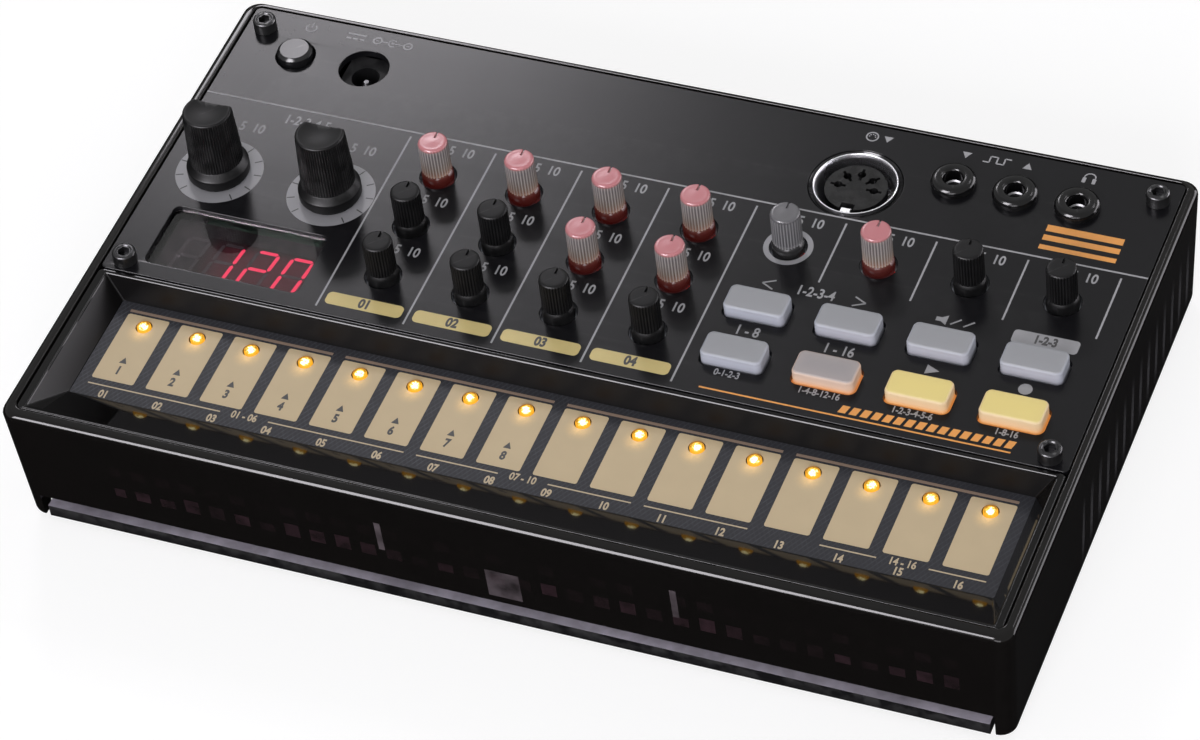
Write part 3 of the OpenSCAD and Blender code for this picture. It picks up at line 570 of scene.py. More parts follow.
@shared("edge_wear_and_highlight", ["Mask"], Breakup=400.0)
def edge_wear_and_highlight_group(graph: Graph, given: Sockets) -> Sockets:
    """Mask of the outer edges that hands rub and that get a painted highlight."""
    edge = graph.span(graph.node("ShaderNodeNewGeometry").outputs["Pointiness"], 0.52, 0.62)
    return {"Mask": graph.times(edge, graph.span(graph.noise(given["Breakup"]), 0.35, 0.6))}


@shared("smudges", ["Value"], Scale=35.0)
def smudge_group(graph: Graph, given: Sockets) -> Sockets:
    """Broad patches where a surface is a little duller or cleaner."""
    return {"Value": graph.span(graph.noise(given["Scale"], 4.0, 0.6), 0.3, 0.7)}


@shared("height_between", ["Value"], Low=0.0, High=0.01)
def height_group(graph: Graph, given: Sockets) -> Sockets:
    """How far up a place lies between two heights, from 0 to 1."""
    return {"Value": graph.span(graph.axes()[2], given["Low"], given["High"])}


@shared("stripes", ["Along X", "Along Y"], Pitch=0.005, Share=0.5)
def comb_group(graph: Graph, given: Sockets) -> Sockets:
    """Upright stripes at a pitch along X and along Y."""
    stripes = {}
    for name, axis in zip(("Along X", "Along Y"), graph.axes()):
        turns = graph.math("ADD", graph.math("DIVIDE", axis, given["Pitch"]), 100.25)
        stripes[name] = graph.under(graph.math("FRACT", turns), given["Share"])
    return stripes


# ---- Finishes ----


@dataclass(frozen=True)
class Finish:
    """A moulded or plated surface with grain, mottling, smudges, and outer edges lightened as rubbed wear and
    as a painted highlight.
    """

    slot: str
    tone: Colour
    roughness: float = 0.45
    metallic: float = 0.0
    specular: float = 0.5
    clear: float = 0.0
    ior: float = 1.5
    grain_scale: float = 2500.0
    grain_depth: float = 0.004
    mottle: float = 0.12
    edge_rub_and_highlight: float = 0.25
    smudge: float = 0.12
    strength: float = 1.0
    variant: str = ""

    def material(self) -> bpy.types.Material:
        """Gives the material, built on first use."""
        name = self.slot + self.variant + "_finish"
        return bpy.data.materials.get(name) or self._build(name)

    def _build(self, name: str) -> bpy.types.Material:
        """Makes the material and its node tree.

        Args:
            name: Name of the material.

        Returns:
            The material.
        """
        made = bpy.data.materials.new(name)
        graph = emptied(made)
        grain = graph.group(grain_group(), Scale=self.grain_scale)
        smudge = graph.group(smudge_group(), Scale=35.0)
        wear_and_highlight = graph.group(edge_wear_and_highlight_group(), Breakup=400.0)
        darker = tuple(part * (1 - self.mottle) for part in self.tone)
        lighter = tuple(min(part * (1 + self.mottle), 1.0) for part in self.tone)
        # Outer edges lighten towards this tone: rubbed wear and a painted highlight.
        rubbed_and_highlit_tone = tuple(part + (1 - part) * 0.12 for part in self.tone)
        colour = self.coloured(graph, graph.mix(grain.outputs["Tone"], darker, lighter))
        dull = graph.span(smudge.outputs["Value"], 0.0, 1.0, self.roughness * (1 - self.smudge),
                          self.roughness * (1 + self.smudge))
        bump = graph.node("ShaderNodeBump", {"Height": grain.outputs["Height"], "Strength": 1.0,
                                             "Distance": self.grain_depth * MM})
        shader = graph.node("ShaderNodeBsdfPrincipled", {
            "Base Color": graph.mix(graph.times(wear_and_highlight.outputs["Mask"], self.edge_rub_and_highlight), colour, rubbed_and_highlit_tone),
            "Metallic": self.metallic, "Roughness": self.dulled(graph, dull), "Normal": bump.outputs[0],
            "Specular IOR Level": self.specular, "IOR": self.ior, "Transmission Weight": self.clear})
        light = self.light(graph)
        if light:
            graph.feed(shader.inputs["Emission Color"], light)
            graph.feed(shader.inputs["Emission Strength"], self.strength)
        graph.node("ShaderNodeOutputMaterial", {0: shader.outputs[0]})
        return made

    def coloured(self, graph: Graph, colour: Socket) -> Socket:
        """Lets a finish paint over its mottled tone."""
        return colour

    def dulled(self, graph: Graph, dull: Socket) -> Socket:
        """Lets a finish be rougher in places."""
        return dull

    def light(self, graph: Graph) -> Socket | None:
        """Lets a finish give off light of its own."""
        return None


@dataclass(frozen=True)
class SmokeCase(Finish):
    """Polished smoke moulding with painted light where its inner ribs, gaps and slats show faintly through
    the walls.
    """

    # Painted light: lighter tones where light from below shows through the smoke walls between the ribs and
    # slats.
    gap_light_tone: Colour = (0.036, 0.020, 0.025)
    patch_light_tone: Colour = (0.12, 0.10, 0.11)
    slat_light_tone: Colour = (0.09, 0.088, 0.095)
    front_y: float = -56.2
    front_x: Point = (-75.5, 86.5)
    side_x: float = 95.2
    pitch: float = 5.0
    offset: float = 100.25
    window_foot: float = 12.8
    window_top: Point = (14.8, 16.4)
    upper_z: Point = (18.6, 21.0)
    patch_x: Point = (-2.0, 4.5)
    patch_z: Point = (9.0, 16.2)
    strips_x: Point = (-22.6, 33.8)
    strip_w: float = 1.2
    strip_z: Point = (15.0, 22.5)
    slats_y: Point = (-16.0, 51.0)

    def coloured(self, graph: Graph, colour: Socket) -> Socket:
        """Paints, as painted light, what shows faintly through the front wall and the side walls."""
        x, y, z = graph.axes()
        front = graph.times(graph.under(y, self.front_y * MM), graph.within(x, self.front_x))
        colour = graph.mix(graph.times(self._lit_gaps(graph, x, z), front), colour, self.gap_light_tone)
        colour = graph.mix(graph.times(self._clear(graph, x, z), front), colour, self.patch_light_tone)
        return graph.mix(self._lit_slats(graph, x, y, z), colour, self.slat_light_tone)

    def _lit_gaps(self, graph: Graph, x: Socket, z: Socket) -> Socket:
        """Gives the gaps between the ribs, where painted light shows through, each with its own height and
        brightness.

        Args:
            graph: The material's graph.
            x: Place along the case.
            z: Height.

        Returns:
            How much of the patch shows.
        """
        rows = graph.group(comb_group(), Pitch=self.pitch * MM, Share=0.58)
        turns = graph.math("ADD", graph.math("DIVIDE", x, self.pitch * MM), self.offset)
        column = graph.math("FLOOR", turns)
        luck = graph.node("ShaderNodeTexWhiteNoise", {"W": column}, noise_dimensions="1D").outputs["Value"]
        low, high = self.window_top
        top = graph.span(graph.math("FRACT", graph.times(luck, 7.3)), 0.0, 1.0, low * MM, high * MM)
        lower = graph.times(graph.over(z, self.window_foot * MM), graph.under(z, top))
        upper = graph.times(graph.within(z, self.upper_z), 0.14)
        both = graph.times(graph.math("MAXIMUM", lower, upper), rows.outputs["Along X"])
        cloud = graph.span(graph.noise(320.0, 3.0), 0.35, 0.62, 0.35, 1.0)
        return graph.times(both, graph.times(graph.span(luck, 0.0, 1.0, 0.08, 1.0), cloud))

    def _clear(self, graph: Graph, x: Socket, z: Socket) -> Socket:
        """Gives the thin places where painted light comes through the front wall."""
        clear = graph.times(graph.within(x, self.patch_x), graph.within(z, self.patch_z))
        for left in self.strips_x:
            strip = graph.times(graph.within(x, (left, left + self.strip_w)), graph.within(z, self.strip_z))
            clear = graph.math("MAXIMUM", clear, strip)
        return graph.times(clear, graph.span(graph.noise(180.0, 3.0), 0.3, 0.65, 0.15, 1.0))

    def _lit_slats(self, graph: Graph, x: Socket, y: Socket, z: Socket) -> Socket:
        """Gives the upright stripes of painted light behind the side walls."""
        slats = graph.group(comb_group(), Pitch=self.pitch * MM, Share=0.3)
        side = graph.over(graph.math("ABSOLUTE", x), self.side_x * MM)
        stripes = graph.times(slats.outputs["Along Y"], side, graph.within(y, self.slats_y))
        return graph.times(stripes, graph.times(graph.span(z, 0.0035, 0.009), graph.span(z, 0.021, 0.013)))


@dataclass(frozen=True)
class GlossBezel(Finish):
    """Polished black moulding whose rear and left ramps are a little hazy."""

    rear_y: float = -20.3
    left_x: float = -89.1
    lip_z: float = 28.6
    haze: float = 0.3

    def dulled(self, graph: Graph, dull: Socket) -> Socket:
        """Roughens the rear and left ramps below their lips."""
        x, y, z = graph.axes()
        sides = graph.math("MAXIMUM", graph.over(y, self.rear_y * MM), graph.under(x, self.left_x * MM))
        return graph.math("MAXIMUM", dull, graph.times(sides, graph.under(z, self.lip_z * MM), self.haze))


@dataclass(frozen=True)
class BaseCover(Finish):
    """Grained base moulding whose front lip, where it shows in the slot, is painted pale as painted light
    from the floor.
    """

    # Painted light: the pale top of the lip stands in for light from the floor under the case.
    lip_light_tone: Colour = (0.62, 0.58, 0.68)
    lip_y: float = -53.9
    lip_z: float = 4.55

    def coloured(self, graph: Graph, colour: Socket) -> Socket:
        """Lightens the top of the lip with painted light from the floor."""
        _, y, z = graph.axes()
        lip = graph.times(graph.under(y, self.lip_y * MM), graph.over(z, self.lip_z * MM))
        streaks = graph.span(graph.noise(90.0, 3.0), 0.3, 0.7, 0.45, 0.85)
        return graph.mix(graph.times(lip, streaks), colour, self.lip_light_tone)


@dataclass(frozen=True)
class Slate(Finish):
    """Dark slate solder mask with a fine diagonal weave under it."""

    weave_tone: Colour = (0.068, 0.070, 0.082)

    def coloured(self, graph: Graph, colour: Socket) -> Socket:
        """Draws thin slanting strokes and their fainter crossing ones.

        Args:
            graph: The material's graph.
            colour: Colour of the bare finish.

        Returns:
            The colour with the strokes.
        """
        strokes = []
        for turn, share in ((30, 1.0), (-30, 0.4)):
            turned = graph.node("ShaderNodeMapping", {"Vector": graph.place(),
                                                      "Rotation": (0, 0, math.radians(turn))})
            inputs = {"Vector": turned.outputs[0], "Scale": 370.0, "Distortion": 0.25}
            wave = graph.node("ShaderNodeTexWave", inputs, bands_direction="X")
            strokes.append(graph.span(wave.outputs[1], 0.76, 0.96, 0.0, share))
        patches = graph.span(graph.group(smudge_group(), Scale=420.0).outputs[0], 0.0, 1.0, 0.15, 1.0)
        faint = graph.times(graph.math("MAXIMUM", *strokes), patches)
        faded = graph.span(graph.axes()[0], -0.09, 0.09, 1.0, 0.5)
        return graph.mix(graph.times(faint, faded), colour, self.weave_tone)


@dataclass(frozen=True)
class Glow(Finish):
    """A surface whose colour and light change with height; its colour run also holds painted highlights."""

    low: float = 0.0
    high: float = 1.0
    colours_with_highlights: tuple[tuple[float, Colour], ...] = ()
    lights: tuple[tuple[float, Colour], ...] = ()
    # Painted highlight: the ridges of the flutes are lightened towards this tone.
    ridge_highlight_tone: Colour = (0.0, 0.0, 0.0)
    ridge_highlight_share: float = 0.0
    edge_rub_and_highlight: float = 0.0

    def _rise(self, graph: Graph) -> Socket:
        """Gives how far up the surface a place lies."""
        return graph.group(height_group(), Low=self.low * MM, High=self.high * MM).outputs[0]

    def coloured(self, graph: Graph, colour: Socket) -> Socket:
        """Runs through the colours, painted highlights among them, from low to high, and lightens the ridges
        as a painted highlight.
        """
        steps = graph.mix(0.06, graph.ramp(self._rise(graph), self.colours_with_highlights), colour)
        if not self.ridge_highlight_share:
            return steps
        ridge = graph.node("ShaderNodeAttribute", attribute_name="ridge").outputs["Fac"]
        return graph.mix(graph.span(ridge, 0.55, 0.95, 0.0, self.ridge_highlight_share), steps, self.ridge_highlight_tone)

    def light(self, graph: Graph) -> Socket | None:
        """Runs through the lights from low to high."""
        return graph.ramp(self._rise(graph), self.lights) if self.lights else None


@dataclass(frozen=True)
class Rubber(Glow):
    """Soft key whose flanks are painted lighter than its top as a painted highlight, and whose lit kinds also
    glow.
    """

    roughness: float = 0.6
    specular: float = 0.2
    grain_scale: float = 3500.0
    low: float = 28.8
    high: float = 31.6


@dataclass(frozen=True)
class ClearKnob(Glow):
    """Clear moulding that is dark at its foot and light on its top, with a painted highlight on its ridges.
    """

    roughness: float = 0.2
    specular: float = 0.3
    grain_depth: float = 0.001
    low: float = 28.4
    high: float = 38.1
    ridge_highlight_share: float = 0.6


@dataclass(frozen=True)
class Lamp(Finish):
    """A lit lens with a hot spot and a bright ring."""

    pitch: float = 10.98
    middle: Point = (0.0, -25.5)
    hot: Point = (0.25, -26.0)
    radius: float = 1.36
    stops: tuple[tuple[float, Colour], ...] = ((0.0, (0.055, 0.020, 0.002)), (0.35, (0.15, 0.065, 0.006)),
                                               (0.62, (0.42, 0.26, 0.035)), (0.8, (1.0, 0.92, 0.5)))
    ring: Colour = (0.36, 0.16, 0.009)
    strength: float = 3.0

    def light(self, graph: Graph) -> Socket | None:
        """Brightens towards the spot and along the ring."""
        heat = graph.span(graph.away(self.pitch, self.hot), 0.35 * MM, 1.9 * MM, 1.0, 0.0)
        rim = self.radius * MM
        ring = graph.span(graph.away(self.pitch, self.middle), 0.78 * rim, 0.94 * rim)
        broken = graph.span(graph.noise(2600.0, 3.0), 0.3, 0.65, 0.55, 1.05)
        glow = graph.ramp(graph.times(heat, broken), self.stops)
        return graph.mix(graph.times(ring, broken), glow, self.ring)


@dataclass(frozen=True)
class LitPad(Finish):
    """A plated pad with the lamp's light spilt in front of it."""

    pitch: float = 10.98
    spill_y: float = -27.0
    reach: float = 3.3
    spill: Colour = (1.0, 0.56, 0.13)
    strength: float = 0.6

    def light(self, graph: Graph) -> Socket | None:
        """Spreads a warm patch that fades with the distance from each lamp."""
        near = graph.span(graph.away(self.pitch, (0.0, self.spill_y)), 0.0, self.reach * MM, 1.0, 0.0)
        amount = graph.times(near, near, graph.span(graph.noise(1400.0), 0.3, 0.7, 0.7, 1.1))
        return graph.mix(amount, (0, 0, 0), self.spill)


@dataclass(frozen=True)
class Lit(Finish):
    """An evenly lit surface."""

    glow: Colour = (0.9, 0.04, 0.1)

    def light(self, graph: Graph) -> Socket | None:
        """Gives off a slightly uneven light."""
        return graph.mix(graph.noise(900.0), tuple(part * 0.8 for part in self.glow), self.glow)


@dataclass(frozen=True)
class Haze(Lit):
    """Light from the digits that fades out to the left and over the edges."""

    left: float = -78.5
    right: float = -72.0
    low: float = -13.6
    high: float = -2.6
    fade: float = 2.5

    def light(self, graph: Graph) -> Socket | None:
        """Fades the light towards its borders."""
        x, y, _ = graph.axes()
        up = graph.span(y, self.low * MM, (self.low + self.fade) * MM)
        down = graph.span(y, self.high * MM, (self.high - self.fade) * MM)
        across = graph.span(x, self.left * MM, self.right * MM)
        return graph.mix(graph.times(across, graph.times(up, down)), (0, 0, 0), self.glow)


@dataclass(frozen=True)
class Print(Finish):
    """Thin matt print, without rubbed wear and without the painted edge highlight."""

    roughness: float = 0.5
    edge_rub_and_highlight: float = 0.0


@dataclass(frozen=True)
class Metal(Finish):
    """Bare or plated metal."""

    roughness: float = 0.28
    metallic: float = 1.0


PRINT_GREY = Print("satin_panel", (0.33, 0.33, 0.345), 0.55, variant="_print")
PRINT_DARK = Print("satin_panel", (0.018, 0.018, 0.018), variant="_dark_print")
PRINT_ORANGE = Print("satin_panel", (0.78, 0.32, 0.045), variant="_orange_print")
PRINT_TAN = Print("touch_plate", (0.50, 0.40, 0.255), 0.45, variant="_print")
PRINT_BROWN = Print("touch_plate", (0.24, 0.165, 0.115), 0.4, variant="_bars")
CHANNEL_YELLOW = Print("satin_panel", (0.60, 0.485, 0.19), variant="_plates")
RING_GREY = Print("satin_panel", (0.26, 0.26, 0.275), 0.45, variant="_scale")
PAD_TAN = LitPad("touch_plate", (0.575, 0.46, 0.287), 0.42, specular=0.2, variant="_pads", mottle=0.05,
                 edge_rub_and_highlight=0.0)

SATIN_PANEL = Finish("satin_panel", (0.0065, 0.0064, 0.0076), 0.212, specular=0.14, grain_scale=6000.0,
                     grain_depth=0.0006, edge_rub_and_highlight=0.1, smudge=0.04)
GLOSS_BEZEL = GlossBezel("gloss_bezel", (0.0038, 0.0035, 0.0036), 0.05, specular=0.15, grain_depth=0.0001,
                         edge_rub_and_highlight=0.1)
SMOKE_CASE = SmokeCase("smoke_case", (0.0065, 0.0058, 0.0054), 0.09, specular=0.15, grain_depth=0.00015,
                       edge_rub_and_highlight=0.1)
BASE_COVER = BaseCover("base_plastic", (0.006, 0.006, 0.0068), 0.5, specular=0.12, grain_scale=4000.0,
                       grain_depth=0.008)
BATTERY_LID = Finish("base_plastic", (0.013, 0.013, 0.0145), 0.52, specular=0.3, grain_scale=4000.0,
                     grain_depth=0.008, variant="_lid")
FOOT_RUBBER = Finish("foot_rubber", (0.018, 0.018, 0.018), 0.85, specular=0.3, grain_scale=3500.0,
                     grain_depth=0.01)
BLACK_SCREW = Finish("black_screw", (0.022, 0.022, 0.023), 0.28, 0.6, 0.3, grain_depth=0.003, edge_rub_and_highlight=0.5)
SLATE = Slate("touch_plate", (0.029, 0.030, 0.035), 0.35, specular=0.12, grain_depth=0.001, edge_rub_and_highlight=0.0)
AMBER_LAMP = Lamp("amber_lamp", (0.10, 0.035, 0.004), 0.14, specular=0.03)
SMOKE_WINDOW = Finish("smoke_window", (0.42, 0.385, 0.395), 0.02, specular=0.15, clear=1.0, ior=1.36,
                      grain_depth=0.0001, mottle=0.03, edge_rub_and_highlight=0.0)
DIGIT_LIT = Lit("dark_module", (0.15, 0.01, 0.02), 0.4, specular=0.1, variant="_lit", glow=(1.0, 0.045, 0.13),
                strength=2.3, edge_rub_and_highlight=0.0)
DIGIT_HALO = Haze("dark_module", (0.012, 0.006, 0.007), 0.4, specular=0.1, variant="_halo",
                  glow=(0.075, 0.006, 0.014), strength=1.5, edge_rub_and_highlight=0.0)
DIGIT_OFF = Print("dark_module", (0.085, 0.08, 0.09), specular=0.2, variant="_unlit")
DARK_MODULE = Finish("dark_module", (0.016, 0.016, 0.018), 0.5, specular=0.2)
BLACK_KNOB = Finish("black_knob", (0.0048, 0.0048, 0.0051), 0.4, specular=0.12, grain_scale=5000.0,
                    grain_depth=0.002, edge_rub_and_highlight=0.2)
SOCKET_BLACK = Finish("socket_plastic", (0.004, 0.004, 0.0042), 0.17, specular=0.2, grain_depth=0.0003)
SOCKET_MATT = Finish("socket_plastic", (0.008, 0.008, 0.009), 0.5, specular=0.12, variant="_matt")
CHROME = Metal("chrome_shell", (0.55, 0.55, 0.57), mottle=0.2, grain_scale=4000.0, grain_depth=0.006)
PIN = Metal("plated_metal", (0.05, 0.05, 0.052), 0.3, mottle=0.15, variant="_pin")
PLATED = Metal("plated_metal", (0.62, 0.62, 0.64), 0.25, mottle=0.08)
SLEEVE = Metal("plated_metal", (0.16, 0.16, 0.165), 0.5, mottle=0.1, variant="_sleeve")
BRASS = Metal("brass_insert", (0.55, 0.37, 0.13), 0.32)
ZINC = Metal("plain_screw", (0.5, 0.5, 0.52), 0.34)
BOARD = Finish("circuit_board", (0.012, 0.09, 0.04), 0.3, grain_scale=900.0, grain_depth=0.01)
CONTROL = Metal("control_body", (0.32, 0.33, 0.36), 0.38, grain_scale=1200.0)
RED_LAMP = Lit("red_lamp", (0.5, 0.03, 0.02), 0.2, glow=(1.0, 0.07, 0.05), strength=1.5)
CELL = Metal("cell_jacket", (0.42, 0.27, 0.08), 0.3, 0.8, mottle=0.05)
CONE = Finish("speaker_cone", (0.025, 0.025, 0.026), 0.8, grain_scale=1800.0, grain_depth=0.03)
FLEX = Finish("flex_film", (0.42, 0.26, 0.07), 0.3, grain_scale=600.0)
BUTTON = Finish("button_plastic", (0.010, 0.010, 0.011), 0.2, specular=0.22, grain_scale=5000.0,
                grain_depth=0.001)

# Painted light in both clear knobs: the bright stop at 0.285, where the grip meets the collar, and the light
# ridge tone.
PINK_KNOB = ClearKnob(
    "pink_clear_knob", (0.2, 0.15, 0.13), ridge_highlight_tone=(0.50, 0.47, 0.45),
    colours_with_highlights=((0.0, (0.010, 0.001, 0.001)), (0.16, (0.026, 0.003, 0.003)), (0.24, (0.055, 0.010, 0.009)),
             (0.262, (0.08, 0.022, 0.018)), (0.285, (0.40, 0.30, 0.24)), (0.33, (0.21, 0.15, 0.118)),
             (0.45, (0.185, 0.155, 0.13)), (0.62, (0.15, 0.145, 0.142)), (0.85, (0.145, 0.14, 0.145)),
             (0.93, (0.24, 0.20, 0.20)), (0.955, (0.42, 0.20, 0.20)), (1.0, (0.43, 0.17, 0.185))),
    lights=((0.0, (0.02, 0.0, 0.0)), (0.22, (0.03, 0.002, 0.001)), (0.285, (0.06, 0.02, 0.01)),
            (0.45, (0.02, 0.01, 0.006)), (0.93, (0.01, 0.006, 0.006)), (0.97, (0.09, 0.025, 0.03)),
            (1.0, (0.12, 0.03, 0.036))))
UNLIT_KNOB = ClearKnob(
    "clear_knob", (0.15, 0.15, 0.155), ridge_highlight_tone=(0.32, 0.32, 0.33),
    colours_with_highlights=((0.0, (0.008, 0.008, 0.008)), (0.2, (0.014, 0.014, 0.014)), (0.262, (0.035, 0.035, 0.037)),
             (0.285, (0.20, 0.20, 0.20)), (0.35, (0.09, 0.09, 0.095)), (0.6, (0.11, 0.11, 0.115)),
             (0.9, (0.13, 0.128, 0.135)), (1.0, (0.14, 0.138, 0.146))))
# Painted highlight: each key's flanks are painted lighter than its top, and the colours darken towards the
# foot; the warm lower colours of the lit keys also paint their glow.
GREY_RUBBER = Rubber(
    "grey_rubber", (0.33, 0.34, 0.35),
    colours_with_highlights=((0.0, (0.26, 0.27, 0.31)), (0.2, (0.44, 0.46, 0.53)), (0.6, (0.54, 0.57, 0.65)),
             (0.9, (0.48, 0.505, 0.57)), (0.97, (0.345, 0.355, 0.375)), (1.0, (0.33, 0.338, 0.355))))
GLOW_RUBBER = Rubber(
    "glow_rubber", (0.35, 0.33, 0.33),
    colours_with_highlights=((0.0, (0.62, 0.36, 0.18)), (0.4, (0.66, 0.52, 0.42)), (0.88, (0.62, 0.50, 0.42)),
             (0.97, (0.38, 0.355, 0.355)), (1.0, (0.36, 0.335, 0.335))),
    lights=((0.0, (0.42, 0.13, 0.03)), (0.3, (0.2, 0.09, 0.035)), (0.88, (0.12, 0.06, 0.03)),
            (1.0, (0.0, 0.0, 0.0))))
LIT_RUBBER = Rubber(
    "lit_rubber", (0.75, 0.65, 0.22),
    colours_with_highlights=((0.0, (0.62, 0.36, 0.16)), (0.35, (0.72, 0.52, 0.33)), (0.88, (0.72, 0.58, 0.38)),
             (0.97, (0.56, 0.48, 0.19)), (1.0, (0.55, 0.47, 0.18))),
    lights=((0.0, (0.45, 0.15, 0.03)), (0.3, (0.22, 0.11, 0.04)), (0.88, (0.16, 0.10, 0.05)),
            (1.0, (0.25, 0.19, 0.065))))


# ---- Repeats ----


def spreader(name: str, **inputs: str) -> Callable[[Drawing], Callable[[], Tree]]:
    """Makes a geometry tree of a function that gives the points and the turns of a shape's copies.

    Args:
        name: Name of the tree.
        **inputs: Its own inputs and their kinds.

    Returns:
        What turns the function into one that gives the tree, which ends in realised instances.
    """
    def wrap(spread: Drawing) -> Callable[[], Tree]:
        """Keeps the function until its first use."""
        @cache
        def build() -> Tree:
            """Gives the tree."""
            tree = bpy.data.node_groups.new(name, "GeometryNodeTree")
            sockets = {"Geometry": "Geometry", "Shape": "Object", "Finish": "Material", **inputs}
            for key, kind in sockets.items():
                tree.interface.new_socket(key, in_out="INPUT", socket_type="NodeSocket" + kind)
            tree.interface.new_socket("Geometry", in_out="OUTPUT", socket_type="NodeSocketGeometry")
            graph = Graph(tree)
            start = graph.node("NodeGroupInput")
            given = {key: start.outputs[key] for key in sockets}
            shape = graph.node("GeometryNodeObjectInfo", {"Object": given["Shape"]})
            copies = graph.node("GeometryNodeInstanceOnPoints", {"Instance": shape.outputs["Geometry"],
                                                                 **spread(graph, given)})
            real = graph.node("GeometryNodeRealizeInstances", {0: copies.outputs[0]})
            dressed = graph.node("GeometryNodeSetMaterial", {0: real.outputs[0], "Material": given["Finish"]})
            graph.node("NodeGroupOutput", {0: dressed.outputs[0]})
            return tree
        return build
    return wrap


@spreader("row_of_copies", Count="Int", Start="Vector", Step="Vector")
def row_tree(graph: Graph, given: Sockets) -> Sockets:
    """Copies in a straight row: Count, Start and Step."""
    inputs = {"Count": given["Count"], "Start Location": given["Start"], "Offset": given["Step"]}
    return {"Points": graph.node("GeometryNodeMeshLine", inputs, mode="OFFSET").outputs[0]}


@spreader("copies_on_places")
def place_tree(graph: Graph, given: Sockets) -> Sockets:
    """Copies on the points of the carrier's own mesh."""
    return {"Points": given["Geometry"]}


@spreader("fan_of_copies", Count="Int", Centre="Vector", First="Float", Turn="Float")
def fan_tree(graph: Graph, given: Sockets) -> Sockets:
    """Copies turned about one centre: Count, Centre, first angle and the turn from each to the next."""
    inputs = {"Count": given["Count"], "Start Location": given["Centre"], "Offset": (0, 0, 0)}
    line = graph.node("GeometryNodeMeshLine", inputs, mode="OFFSET")
    index = graph.node("GeometryNodeInputIndex").outputs[0]
    turn = graph.math("ADD", given["First"], graph.times(index, given["Turn"]))
    return {"Points": line.outputs[0], "Rotation": graph.node("ShaderNodeCombineXYZ", {2: turn}).outputs[0]}


def repeated(name: str, shape: Form, tree: Tree, finish: Finish, replaced: Sequence[str] = (),
             places: Sequence[Place] = (), **values: object) -> bpy.types.Object:
    """Makes one piece on the case out of copies of a shape.

    Args:
        name: Name of the piece.
        shape: The form to copy, about the origin.
        tree: The geometry tree that spreads the copies.
        finish: The piece's finish.
        replaced: CAD nodes that it stands for.
        places: Points of the carrier, in millimetres.
        **values: What the tree's other inputs get, by name.

    Returns:
        The piece.
    """
    source = linked(name + "_shape", shape.shaded(name + "_shape", SHARP))
    points = bpy.data.meshes.new(name + "_points")
    points.from_pydata([Vector(place) * MM for place in places], [], [])
    carrier = linked(name + "_carrier", points)
    modifier = carrier.modifiers.new("copies", "NODES")
    modifier.node_group = tree
    given = {"Shape": source, "Finish": finish.material(), **values}
    for item in tree.interface.items_tree:
        if item.in_out == "INPUT" and item.name in given:
            modifier[item.identifier] = given[item.name]
    made = baked(carrier)
    made.name = name
    bpy.data.objects.remove(source)
    return seat(name, made, finish, replaced=replaced)


# ---- Case ----


